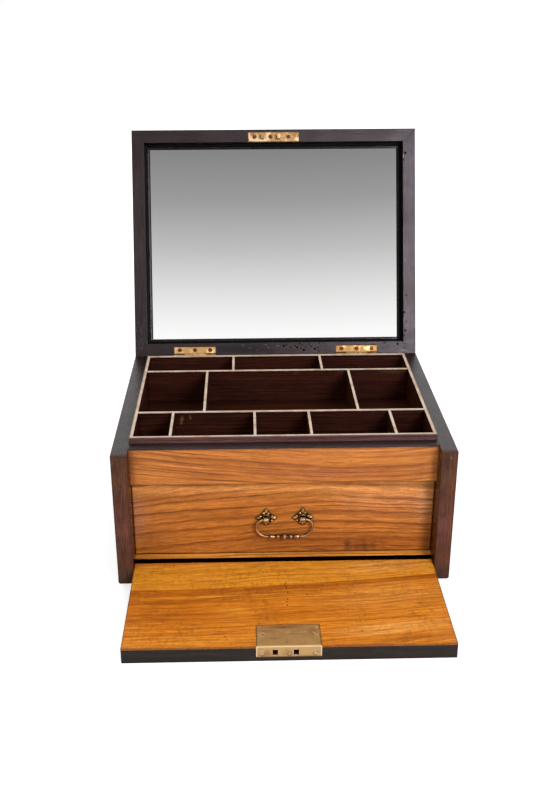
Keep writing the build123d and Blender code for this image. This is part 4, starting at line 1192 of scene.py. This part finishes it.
@dataclass
class FallFront(Assembly):
    """The front that falls forward, with its satinwood lining."""

    def dress(self) -> None:
        """Finishes the board and its lining."""
        self.finish("fall_board", FALL_BLACK, Grain.ACROSS_FLAT, 3.1)
        self.finish("fall_lining", LINING, Grain.ACROSS_FLAT, 3.7, 0.075, 0.22, self._marks())
        LOG.info("fall front dressed")

    @staticmethod
    def _marks() -> Marks:
        """Places the streaks in the lining's wood and the stains on it.

        Returns:
            The marks.
        """
        brown, deep, gold, light = (170, 94, 22), (120, 60, 10), (250, 172, 56), (255, 190, 96)
        streaks = marks(
            (0, -126.5, WHOLE, 19.5, (250, 174, 50), 0.75, 0.1, 0.9), (90, -126.5, 70, 18, light, 0.6, 0.3),
            (0, -107.5, WHOLE, 2.2, light, 0.4, 0.3), (-85, -119.5, 70, 4.5, deep, 0.25, 0.8),
            (85, -172, 80, 32, light, 0.3), (-40, -125, 30, 3, (170, 116, 14), 0.5, 0.8),
            (0, -149.5, WHOLE, 4, brown, 0.6, 0.12, 0.75), (-50, -156, 160, 12, brown, 0.6, 0.4),
            (-100, -175, 100, 60, (206, 112, 16), 0.35), (-50, -158.5, 90, 1.6, gold, 0.7, 0.9, 0.2),
            (-20, -164.5, 70, 1.1, gold, 0.6, 0.9, 0.2), (-100, -165, 85, 4.5, deep, 0.5, 0.7, 0.1),
            (-30, -167.5, 60, 1.8, deep, 0.45, 0.8, 0.1), (-110, -184, 75, 15, brown, 0.5, 0.8),
            (50, -171, 70, 5.5, brown, 0.35, 0.8), (40, -187, 70, 4.5, brown, 0.35, 0.8),
            (-45, -181, 30, 7.5, gold, 0.55, 0.9), (85, -205.5, 55, 0.8, deep, 0.75, 0.5, 0.2),
            (85, -219, 70, 13, light, 0.6, 0.5), (-80, -222, 80, 12, gold, 0.3, 0.5),
            (100, -234.5, 40, 1.6, deep, 0.5, 0.8, 0.2), (-60, -203, 50, 0.9, deep, 0.5, 0.8, 0.2),
            (-70, -212.5, 50, 0.8, deep, 0.45, 0.8, 0.2), (-90, -219, 50, 0.8, deep, 0.4, 0.8, 0.2),
            follows=True)
        spots = ((0, -143), (-0.6, -146.5), (0.6, -150.5), (1.4, -157.5), (1, -168), (0, -171.5),
                 (0.4, -176.5), (18, -160.5), (-52, -219), (60, -214))
        return (streaks + marks(*((x, y, 0.8, 1.7, (50, 20, 6), 0.95, 0.8, 0.3) for x, y in spots))
                + marks((-83, -107.5, 1.8, 1.1, (240, 220, 190), 0.95, 0.6, 0.3),
                        (-100, -111.5, 1.2, 5, (120, 70, 20), 0.6, 0.8),
                        (104, -118, 7, 4, (150, 100, 62), 0.5, 1.2)))


@dataclass
class Hardware(Assembly):
    """The hinges, the lock and its link plate, and every screw."""

    bright: tuple[str, ...] = ("hinge_case_leaf_left", "hinge_case_leaf_right", "hinge_lid_leaf_left",
                               "hinge_lid_leaf_right", "keyhole_escutcheon")
    screws: tuple[str, ...] = ("hinge_case_screws", "hinge_lid_screws", "hinge_pins", "link_plate_screws",
                               "handle_nuts", "lock_bolt", "lock_key_pin")
    sockets: tuple[float, float] = (-11.7, 5.3)
    rivets: tuple[float, ...] = (-22.5, 0.0, 20.5)
    beyond: float = WHOLE * MM

    def dress(self) -> None:
        """Finishes each metal part in its brass."""
        screws = SCREW_BRASS.make(self.effects)
        for name in self.screws:
            put_on(self.nodes[name], screws)
        put_on(self.nodes["lock_screws"], LOCK_SCREW_BRASS.make(self.effects))
        for name in self.bright:
            leaf = Board.of(self.nodes[name], Grain.LID_ACROSS if "lid" in name else Grain.ACROSS_UPRIGHT)
            brass = LIT_LEFT_BRASS if "left" in name else BRIGHT_BRASS
            put_on(self.nodes[name], brass.make(self.effects, leaf))
        ends = marks(*((end, 393.5, 6, 6, (120, 62, 34), 0.6, 1.2) for end in (-21, 21)))
        link = Board.of(self.nodes["link_plate"], Grain.LID_ACROSS, marks=ends)
        put_on(self.nodes["link_plate"], LINK_BRASS.make(self.effects, link))
        put_on(self.nodes["lock_cap"], AGED_BRASS.make(self.effects))
        self._dress_lock(self.nodes["lock_plate"])
        LOG.info("hardware dressed")

    def _dress_lock(self, plate: Object) -> None:
        """Finishes the lock's cover and edge plate, which meet in a fold that has no rim; their rim of
        painted shade runs along their other edges.

        Args:
            plate: the lock's plate.
        """
        cover = Board.of(plate, Grain.ACROSS_FLAT, marks=self._cover_marks())
        cover = replace(cover, low=(cover.low[0], -self.beyond, 0.0))
        selvedge = Board.of(plate, Grain.ACROSS_UPRIGHT, marks=self._selvedge_marks())
        selvedge = replace(selvedge, low=(-self.beyond, selvedge.low[1], 0.0), high=(self.beyond,) * 3)
        put_on(plate, LOCK_BRASS.make(self.effects, cover, selvedge))

    @staticmethod
    def _cover_marks() -> Marks:
        """Places the smudges and rubbed spots on the lock's cover, a painted highlight along its fold and
        painted glints in crosses by its screws.

        Returns:
            The marks.
        """
        dull, pale, dark = (112, 84, 56), (246, 220, 176), (62, 38, 22)
        return marks(
            # A painted highlight along the fold.
            (0, -232.8, WHOLE, 1.2, (255, 226, 172), 0.95, 0.2, 0.4), (-4, -207.5, 22, 3.5, dull, 0.6, 1.0),
            (-18, -212.5, 12, 1.2, dull, 0.5, 1.4), (6, -217.5, 18, 0.9, dull, 0.45, 1.4),
            (-12, -222.5, 12, 1, dull, 0.4, 1.4), (19.5, -214, 6, 9, (150, 112, 82), 0.5, 0.8),
            (-21.5, -216.8, 1.3, 0.9, dark, 0.9, 0.6, 0.3), (21.2, -218.3, 1.6, 1, dark, 0.75, 0.8, 0.3),
            (-0.5, -214.5, 3, 1.8, pale, 0.4, 0.8), (23, -208.5, 1.8, 1.4, pale, 0.7, 0.6, 0.3),
            (-2, -227.5, 1.2, 1.2, dull, 0.8, 0.6, 0.3), (13, -214, 0.7, 1.4, pale, 0.7, 0.6, 0.3),
            # The pale crosses by the screws are painted glints.
            (-20.5, -215.8, 2.6, 0.8, pale, 0.95, 0.5, 0.3, 0.9),
            (-22.8, -216.5, 2.4, 0.8, pale, 0.95, 0.5, 0.3, -0.9),
            (-21.6, -219.2, 2.2, 0.9, pale, 0.7, 0.7, 0.3, 0.3),
            (22.2, -219.5, 2.8, 0.9, pale, 0.95, 0.5, 0.3, -0.8),
            (20.5, -215.5, 2.4, 0.8, pale, 0.9, 0.5, 0.3, 0.9))

    def _selvedge_marks(self) -> Marks:
        """Places the brighter metal of the lock's edge plate, with its rivets' rings and rubbed tops, pale
        lines at its ends and round its keyholes, and a painted highlight along its top edge.

        Returns:
            The marks.
        """
        edge = (255, 232, 186)
        found = marks((0, 7, WHOLE, WHOLE, (202, 164, 112), 0.75, 0.0, 0.9),
                      (-19.5, 7, 9, 6, (142, 102, 60), 0.6, 1.4), (-2, 7.5, 6, 6, (146, 104, 64), 0.5, 1.4),
                      # The pale line along the top edge is a painted highlight.
                      (12, 3.5, 12, 3, (150, 110, 68), 0.5, 1.2), (0, 14, WHOLE, 1.1, edge, 0.9, 0.3, 0.2),
                      *((end, 7, 1.1, WHOLE, edge, 0.8, 0.3, 0.2) for end in (-27, 25.8)),
                      *((socket, 8.1, 3.4, 3.7, edge, 0.75, 0.5, 0.5) for socket in self.sockets))
        for x in self.rivets:
            found += marks((x, 6.6, 2.6, 2.6, (96, 62, 34), 0.55, 0.4, 0.6),
                           (x, 6.8, 1.7, 1.7, (240, 206, 150), 0.5, 0.5, 0.4))
        return found


@dataclass
class Drawer(Assembly):
    """The drawer: a softwood box with a satinwood face."""

    def dress(self) -> None:
        """Finishes the drawer's face and its box."""
        across, back = Grain.ACROSS_UPRIGHT, Grain.BACK_UPRIGHT
        self.finish("drawer_facing", DRAWER_SATINWOOD, across, 0.6, 0.05, -0.5, self._marks())
        for name, grain, shift in (("front", across, 0.1), ("back", across, 0.6), ("side_left", back, 1.2),
                                   ("side_right", back, 1.5), ("bottom", Grain.ACROSS_FLAT, 2.1)):
            self.finish(f"drawer_{name}", CARCASE, grain, shift)
        LOG.info("drawer dressed")

    @staticmethod
    def _marks() -> Marks:
        """Places the lighter and darker parts of the face, and the dark rubbing low on its right. The lighter
        parts along its top, at its upper right and at its right end are painted light, set against the
        shade under the front board and beside the right lipping.

        Returns:
            The marks.
        """
        dark, umber = (96, 58, 26), (120, 66, 24)
        # The marks in (212, 138, 82), (255, 186, 112), (255, 196, 130) and (255, 184, 96) are painted light.
        return marks(
            (-133, 58, 14, 40, (200, 142, 104), 0.6), (-8, 32, 70, 18, umber, 0.42),
            (90, 66, 70, 30, (212, 138, 82), 0.45), (85, 77, 75, 20, (255, 186, 112), 0.45),
            (130, 66, 16, 30, (255, 196, 130), 0.5), (-60, 38, 70, 18, (218, 136, 44), 0.3, 0.9),
            (-110, 30, 50, 14, (120, 72, 40), 0.3), (-20, 83.5, WHOLE, 8, (255, 184, 96), 0.5),
            (-90, 88.5, 55, 2.2, (120, 66, 28), 0.7, 0.6, 0.0, 0.03), (70, 27, 60, 13, (150, 76, 30), 0.4),
            (59, 22.5, 5.5, 10.5, dark, 0.85, 1.2), (67.5, 21, 3.5, 9, dark, 0.5, 1.2),
            (74.5, 22.5, 5, 10, dark, 0.6, 1.2), (83, 23, 5, 9, dark, 0.45, 1.2),
            (91.5, 23.5, 4, 8, dark, 0.3, 1.2), (34, 19.5, 20, 2.2, dark, 0.6, 0.9),
            (72, 21.5, 21, 8.5, dark, 0.4, 0.9), (0, 16.8, WHOLE, 1.3, (84, 32, 14), 0.6, 0.9, 0.2),
            (-110, 16.8, 50, 1.3, (70, 20, 10), 0.8, 0.7, 0.4))


@dataclass
class BailHandle(Assembly):
    """The drawer's handle: two cast rosettes, and a bail turned with beads on its grip."""

    centre: float = 0.7 * MM
    height: float = 53.5 * MM
    face: float = -96.45 * MM
    standoff: float = 4.5 * MM
    spacing: float = 33 * MM
    pintle: float = 1.6 * MM
    wire: float = 1.15 * MM
    shoulder_run: float = 2.6 * MM
    shoulder: float = 6.5 * MM
    corner: float = 11 * MM
    ring_sides: int = 16
    corner_steps: int = 14
    shoulder_steps: int = 10
    end_round: float = 0.15 * MM
    grip_roughness: float = 0.34
    groove_height: float = 4 * MM
    # Where along Y each part turns from painted shade behind to a front that is rubbed bright and painted as
    # a highlight.
    post_rubbed: tuple[float, float] = (2 * MM, -0.4 * MM)
    bail_rubbed: tuple[float, float] = (-0.1 * MM, -1.3 * MM)
    rosette_rubbed: tuple[float, float] = (-1.1 * MM, -2.2 * MM)
    end_taper: float = 0.8
    turning: tuple[tuple[float, float], ...] = (
        (0.0, 3.0), (0.5, 2.95), (0.95, 2.6), (1.35, 2.0), (1.7, 1.5), (2.6, 1.4), (3.9, 1.4), (4.6, 1.5),
        (4.9, 1.9), (5.3, 2.35), (5.9, 2.45), (6.5, 2.3), (6.9, 1.85), (7.2, 1.4), (8.2, 1.3), (8.9, 1.4),
        (10.0, 1.6), (11.3, 1.95), (12.4, 2.1), (13.1, 1.8), (13.6, 1.25), (14.4, 1.1), (14.8, 1.15))
    necks: tuple[tuple[float, float], ...] = ((3.1 * MM, 1.7 * MM), (8.2 * MM, 1.3 * MM),
                                              (14.0 * MM, 0.7 * MM))
    long_leaf: tuple[float, float] = (6.6 * MM, 4.4 * MM)
    leaf_rise: float = 1.5 * MM
    leaf_lift: float = 0.5 * MM
    rosette_radius: float = 10.3 * MM
    waist: float = 0.72
    notch: float = 0.62
    plate_thickness: float = 0.7 * MM
    plate_edge: tuple[float, float] = (0.35 * MM, 0.3 * MM)
    bead: tuple[float, float] = (1.05 * MM, 1.55 * MM)
    bead_ring: float = 5.5 * MM
    bead_lift: float = 1.6 * MM
    bead_foot: Place = (1.15, 1.15, 0.6)
    foot_length: float = 0.8
    boss: float = 3.6 * MM
    boss_height: float = 1.6 * MM
    boss_lip: tuple[float, float] = (0.7 * MM, 0.15 * MM)
    boss_hollow: tuple[float, float] = (0.5 * MM, -0.9 * MM)
    boss_bevel: float = 0.22 * MM

    def build(self) -> None:
        """Models and finishes the rosettes, the bail and the posts."""
        depth = self.face - self.standoff
        eye = replace(ANTIQUE_BRASS, name="antique_brass_post",
                      rubbed=tuple(depth + step for step in self.post_rubbed))
        put_on(self.nodes["handle_posts"], eye.make(self.effects))
        bail = self._bail()
        grip = replace(ANTIQUE_BRASS, name="antique_brass_bail", roughness=self.grip_roughness,
                       rubbed=tuple(depth + step for step in self.bail_rubbed))
        # The necks between the beads are darkened in the stain's colour: painted shade in the grooves, partly
        # patina.
        grooves = tuple(Mark((self.centre + sign * neck, self.height - self.shoulder - self.corner),
                             (half, self.groove_height), ANTIQUE_BRASS.stain, 0.85, 0.0, 0.6)
                        for neck, half in self.necks for sign in (-1, 1))
        put_on(bail, grip.make(self.effects, Board.of(bail, Grain.ACROSS_UPRIGHT, marks=grooves)))
        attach(bail, "bail")
        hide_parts("bail")
        LOG.info("bail built")
        master = self._rosette()
        cast = replace(ANTIQUE_BRASS, name="antique_brass_rosette", bright=paint(250, 224, 150),
                       stain=paint(48, 30, 14),
                       rubbed=tuple(self.face + step for step in self.rosette_rubbed))
        metal = cast.make(self.effects)
        for side, sign in (("left", -1), ("right", 1)):
            place = Matrix.Translation((self.centre + sign * self.spacing / 2, self.face, self.height))
            rosette = Bench.copy(master, f"cast_rosette_{side}", place @ Matrix.Rotation(QUARTER, 4, "X"))
            Bench.finish(rosette)
            put_on(rosette, metal)
            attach(rosette, "drawer")
            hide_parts(f"rosette_{side}")
            LOG.info("%s rosette built", side)
        bpy.data.objects.remove(master)

    def _bail(self) -> Object:
        """Draws the bail out of one ring of corners, from the middle of its grip to its pivot.

        Returns:
            The bail.
        """
        middle, grip = self.face - self.standoff, self.height - (self.shoulder + self.corner)
        side = self.spacing / 2 + self.shoulder_run + self.shoulder
        Bench.clear()
        radius = self.turning[0][1] * MM
        bpy.ops.mesh.primitive_circle_add(vertices=self.ring_sides, radius=radius, fill_type="NOTHING",
                                          location=(self.centre, middle, grip), rotation=(0, QUARTER, 0))
        bail = bpy.context.object
        bail.name = "turned_bail"
        Bench.bake(bail)
        bpy.ops.object.mode_set(mode="EDIT")
        bpy.ops.mesh.select_mode(type="EDGE")
        bpy.ops.mesh.select_all(action="SELECT")
        reach = 0.0
        for along, step in self.turning[1:] + (((side - self.corner) / MM, self.wire / MM),):
            self._draw_out((along - reach) * MM, step * MM / radius, (self.centre + along * MM, middle, grip))
            reach, radius = along, step * MM
        for steps, inset, level in ((self.corner_steps, self.corner, grip + self.corner),
                                    (self.shoulder_steps, self.shoulder, self.height - self.shoulder)):
            bpy.ops.mesh.spin(steps=steps, angle=QUARTER, axis=(0, 1, 0),
                              center=(self.centre + side - inset, middle, level))
        end = (self.centre + self.spacing / 2 - self.pintle, middle, self.height)
        self._draw_out(-self.shoulder_run)
        self._draw_out(-self.pintle + self.end_round)
        self._draw_out(-self.end_round, self.end_taper, end)
        bpy.ops.mesh.edge_face_add()
        Bench.close()
        self._mirror(bail)
        Bench.finish(bail, 50)
        return bail

    @staticmethod
    def _draw_out(step: float, swell: float = 1.0, centre: Place = ORIGIN) -> None:
        """Draws the picked ring out.

        Args:
            step: how far along X the ring goes.
            swell: what its radius is multiplied by.
            centre: the middle of the ring in its new place.
        """
        bpy.ops.mesh.extrude_region_move(TRANSFORM_OT_translate={"value": (step, 0, 0)})
        if swell != 1.0:
            bpy.ops.transform.resize(value=(1, swell, swell), center_override=centre)

    def _mirror(self, bail: Object) -> None:
        """Adds the bail's other half.

        Args:
            bail: the half that has been drawn.
        """
        halves = bail.modifiers.new("halves", "MIRROR")
        halves.use_clip = True
        halves.merge_threshold = 0.00001
        about = bpy.data.objects.new("bail_middle", None)
        bpy.context.scene.collection.objects.link(about)
        about.location = (self.centre, 0, 0)
        halves.mirror_object = about
        bpy.context.view_layer.update()
        bpy.ops.object.modifier_apply(modifier=halves.name)
        bpy.data.objects.remove(about)

    def _rosette(self) -> Object:
        """Models one rosette lying face up at the middle: leaves and beads round a hollow boss.

        Returns:
            The rosette.
        """
        parts = [self._plate(), self._cup()]
        leaf, bead = self._leaf(*self.long_leaf, self.leaf_rise), self._bead()
        for quarter in range(4):
            turn = Matrix.Rotation(quarter * QUARTER, 4, "Z")
            if quarter == 2:
                turn = turn @ Matrix.Diagonal((1.0, self.foot_length, 1.0, 1.0))
            root = Matrix.Translation((0, self.rosette_radius - self.long_leaf[0], self.leaf_lift))
            parts.append(Bench.copy(leaf, "leaf", turn @ root))
            out = Matrix.Translation((0, self.bead_ring, self.bead_lift))
            for sign in (-1, 1):
                lean = turn @ Matrix.Rotation(sign * QUARTER / 4, 4, "Z")
                parts.append(Bench.copy(bead, "bead", lean @ out))
        for used in (leaf, bead):
            bpy.data.objects.remove(used)
        return Bench.join(parts, "rosette")

    def _plate(self) -> Object:
        """Models the pointed plate behind the leaves.

        Returns:
            The plate.
        """
        Bench.clear()
        bpy.ops.mesh.primitive_circle_add(vertices=16, radius=self.rosette_radius, fill_type="NGON")
        plate = bpy.context.object
        Bench.stretch(plate, (self.waist, self.waist, 1), lambda at: self._spoke(at) % 2 == 1)
        Bench.stretch(plate, (self.notch, self.notch, 1), lambda at: self._spoke(at) % 4 == 2)
        Bench.stretch(plate, (1, self.foot_length, 1), lambda at: self._spoke(at) == 8)
        Bench.raise_faces(plate, self.plate_thickness, self.plate_edge)
        return plate

    @staticmethod
    def _spoke(at: Vector) -> int:
        """Returns which sixteenth of the turn a corner stands on."""
        return round(math.atan2(at.x, at.y) / (math.pi / 8)) % 16

    def _cup(self) -> Object:
        """Models the hollow boss that the post comes out of.

        Returns:
            The boss.
        """
        Bench.clear()
        bpy.ops.mesh.primitive_cylinder_add(vertices=24, radius=self.boss, depth=self.boss_height,
                                            location=(0, 0, self.boss_height / 2))
        cup = bpy.context.object
        Bench.bake(cup)
        top = self.boss_height - 0.1 * MM
        Bench.pick(cup, Element.FACE, lambda at: at.z > top)
        for inwards, up in (self.boss_lip, self.boss_hollow):
            bpy.ops.mesh.inset(thickness=inwards, depth=up)
        Bench.close()
        Bench.pick(cup, Element.EDGE, lambda at: at.z > top)
        bpy.ops.mesh.bevel(offset=self.boss_bevel, segments=2)
        Bench.close()
        return cup

    @staticmethod
    def _leaf(length: float, width: float, rise: float) -> Object:
        """Models one pointed leaf with a raised rib, whose root stands at the middle.

        Args:
            length: from the root to the point, along Y.
            width: across the leaf at its widest.
            rise: the height of the rib.

        Returns:
            The leaf.
        """
        Bench.clear()
        bpy.ops.mesh.primitive_circle_add(vertices=12, radius=1.0, fill_type="NGON")
        leaf = bpy.context.object
        leaf.scale = (width / 2, length / 2, 1)
        leaf.location = (0, length / 2, 0)
        Bench.bake(leaf)
        Bench.stretch(leaf, (0.5, 1, 1), lambda at: at.y > length * 0.9 and abs(at.x) > width * 0.1)
        Bench.raise_faces(leaf, rise * 0.45, (width * 0.16, rise * 0.1), (width * 0.2, rise * 0.45))
        Bench.soften(leaf, 1)
        return leaf

    def _bead(self) -> Object:
        """Models one cast bead with a flattened foot.

        Returns:
            The bead.
        """
        Bench.clear()
        bpy.ops.mesh.primitive_uv_sphere_add(segments=12, ring_count=8, radius=self.bead[0])
        bead = bpy.context.object
        Bench.stretch(bead, (1, self.bead[1] / self.bead[0], 1))
        Bench.stretch(bead, self.bead_foot, lambda at: at.z < -0.2 * self.bead[0])
        return bead


@dataclass
class Tray(Assembly):
    """The lift-out tray: floor, walls, dividers and their pale capping."""

    wall_top: float = 133.4

    def dress(self) -> None:
        """Finishes the tray's boards and capping."""
        back, across = Grain.BACK_UPRIGHT, Grain.ACROSS_UPRIGHT
        marked = self._marks()
        for name, grain, shift in (("floor", Grain.ACROSS_FLAT, 0.1), ("wall_front", across, 0.5),
                                   ("wall_back", across, 0.9), ("wall_left", back, 1.3),
                                   ("wall_right", back, 1.7), ("long_divider_front", across, 2.0),
                                   ("long_divider_back", across, 2.4), ("dividers_front_row", back, 2.8),
                                   ("dividers_middle_row", back, 3.1), ("dividers_back_row", back, 3.5)):
            timber = PAINTED_SHEEN_TRAY_WOOD if name == "wall_front" else TRAY_WOOD
            self.finish(f"tray_{name}", timber, grain, shift, marks=marked.get(name, ()))
        for name, edge_depth in (("rim", 0.85), ("divider", 0.0)):
            self.finish(f"tray_{name}_capping", Capping(edge_depth), Grain.ACROSS_FLAT)
        LOG.info("tray dressed")

    def _marks(self) -> dict[str, Marks]:
        """Places the scores on the front divider and the dust at the back divider's top edge.

        Returns:
            The marks of each board that has some, by its name without the tray's before it.
        """
        score, dust, top = (138, 104, 58), (98, 74, 56), self.wall_top
        return {"long_divider_front": marks((-92.5, top - 7.5, 2.2, 6.5, score, 0.75, 1.2, 0.2, 0.15),
                                            (-84.5, top - 4, 1.4, 4, score, 0.65, 1.2, 0.2, -0.1)),
                "long_divider_back": marks((19, top - 1.2, 7, 3.5, dust, 0.45, 1.4),
                                           (64, top - 1.2, 6, 3.5, dust, 0.45, 1.4),
                                           (116, top - 1.2, 24, 4.5, dust, 0.6, 1.4))}


# ------------------------------------------------------------------------------------------------- studio
@dataclass(frozen=True)
class SoftBox:
    """One soft lamp."""

    name: str
    place: Place
    aim: Place
    size: tuple[float, float]
    power: float
    colour: Colour = WHITE
    mirrored: bool = True

    def hang(self) -> None:
        """Adds the lamp."""
        lamp = bpy.data.lights.new(self.name, "AREA")
        lamp.shape = "RECTANGLE"
        lamp.size, lamp.size_y = self.size
        lamp.energy = self.power
        lamp.color = self.colour
        holder = bpy.data.objects.new(self.name, lamp)
        bpy.context.scene.collection.objects.link(holder)
        holder.location = self.place
        holder.visible_glossy = self.mirrored
        holder.rotation_euler = (Vector(self.aim) - Vector(self.place)).to_track_quat("-Z", "Y").to_euler()


@dataclass
class Studio:
    """The camera, the pale floor, the white surroundings and the lamps."""

    camera_place: Place = (-0.033, -0.9076, 0.5233)
    camera_heading: float = -0.02214
    camera_tilt: float = math.radians(66.46)
    camera_roll: float = -0.00354
    lens: float = 46.183
    floor_size: float = 6.0
    floor_drop: float = 0.2 * MM
    floor_grey: float = 0.86
    floor_gloss: float = 0.05
    floor_fade: tuple[float, float, float, float] = (0.45, 1.3, 0.52, 1.0)
    surround: float = 0.5
    dim: float = 0.3
    wall_middle: float = 0.03
    wall_sides: tuple[float, float] = (0.16, 0.34)
    wall_foot: tuple[float, float] = (0.325, 0.22)
    wall_front: tuple[float, float] = (0.25, -0.55)
    wall_greys: tuple[tuple[float, float], ...] = ((0.343, 1.0), (0.378, 0.8), (0.42, 0.535), (0.46, 0.345),
                                                   (0.51, 0.222), (0.9, 0.3))
    lamps: tuple[SoftBox, ...] = (
        SoftBox("key_lamp", (0.61, -1.27, 0.84), (0.1, 0.1, 0.2), (0.36, 0.62), 17.0, (0.97, 0.87, 1.0)),
        SoftBox("fill_lamp", (-1.25, -0.9, 1.1), (0.0, 0.0, 0.1), (0.9, 0.9), 6.0, (1.0, 1.0, 0.95), False),
        SoftBox("top_lamp", (0.0, 0.5, 1.7), (0.0, 0.0, 0.1), (1.2, 1.0), 8.0, (1.0, 1.0, 0.96), False))

    def build(self) -> None:
        """Sets the whole studio up."""
        self._camera()
        self._floor()
        self._surroundings()
        for lamp in self.lamps:
            lamp.hang()
        bpy.context.scene.view_settings.view_transform = "Standard"
        LOG.info("studio built")

    def _camera(self) -> None:
        """Adds the camera."""
        lens = bpy.data.cameras.new("camera")
        lens.lens = self.lens
        camera = bpy.data.objects.new("camera", lens)
        bpy.context.scene.collection.objects.link(camera)
        turn = (Matrix.Rotation(self.camera_heading, 4, "Z") @ Matrix.Rotation(self.camera_tilt, 4, "X")
                @ Matrix.Rotation(self.camera_roll, 4, "Z"))
        camera.matrix_world = Matrix.Translation(self.camera_place) @ turn
        bpy.context.scene.camera = camera

    def _floor(self) -> None:
        """Adds the floor, which shows white outside the object's shadow."""
        Bench.clear()
        bpy.ops.mesh.primitive_plane_add(size=self.floor_size, location=(0, 0, -self.floor_drop))
        floor = bpy.context.object
        floor.name = "floor"
        Bench.bake(floor)
        material, graph = new_material("floor")
        path = graph.node("LightPath").outputs
        lit = graph.node("BsdfDiffuse", {"Color": (self.floor_grey,) * 3}).outputs[0]
        shown = graph.level(graph.vectors("LENGTH", graph.place()), *self.floor_fade)
        glow = graph.more(graph.times(path["Is Glossy Ray"], self.floor_gloss), path["Is Camera Ray"], shown)
        light = graph.node("Emission", {"Color": WHITE, "Strength": glow}).outputs[0]
        graph.close(graph.node("AddShader", {0: lit, 1: light}))
        put_on(floor, material)

    def _surroundings(self) -> None:
        """Sets the world: white to the camera, and to polish a white wall that greys higher up in front."""
        world = bpy.data.worlds.new("surroundings")
        world.use_nodes = True
        world.node_tree.nodes.clear()
        graph = Graph(world.node_tree)
        path = graph.node("LightPath").outputs
        across, depth, height = graph.split(graph.node("TexCoord").outputs["Generated"])
        wall = graph.node("ValToRGB", {0: height})
        while len(wall.color_ramp.elements) < len(self.wall_greys):
            wall.color_ramp.elements.new(0.5)
        for element, (at, grey) in zip(wall.color_ramp.elements, self.wall_greys):
            element.position = at
            element.color = (grey, grey, grey, 1.0)
        beside = graph.level(graph.maths("ABSOLUTE", graph.less(across, self.wall_middle)), *self.wall_sides)
        below = graph.level(height, *self.wall_foot)
        wall_seen = graph.blend(graph.most(beside, below), wall.outputs[0], (self.dim,) * 3)
        seen = graph.blend(graph.level(depth, *self.wall_front), WHITE, wall_seen)
        colour = graph.blend(path["Is Glossy Ray"], (self.surround,) * 3, seen)
        for ray in ("Is Transmission Ray", "Is Camera Ray"):
            colour = graph.blend(path[ray], colour, WHITE)
        sky = graph.node("Background", {"Color": colour, "Strength": 1.0})
        graph.node("OutputWorld", {"Surface": sky.outputs[0]})
        bpy.context.scene.world = world


def main() -> None:
    """Dresses the box and builds the studio round it."""
    logging.basicConfig(level=logging.INFO, format="%(name)s: %(message)s")
    nodes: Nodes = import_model()["nodes"]
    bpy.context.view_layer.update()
    Studio().build()
    effects = Effects()
    CaseBody(nodes, effects).dress()
    Lid(nodes, effects).dress()
    FallFront(nodes, effects).dress()
    Drawer(nodes, effects).dress()
    Hardware(nodes, effects).dress()
    BailHandle(nodes, effects).build()
    Tray(nodes, effects).dress()
    Bench.clear()


if __name__ == "__main__":
    main()
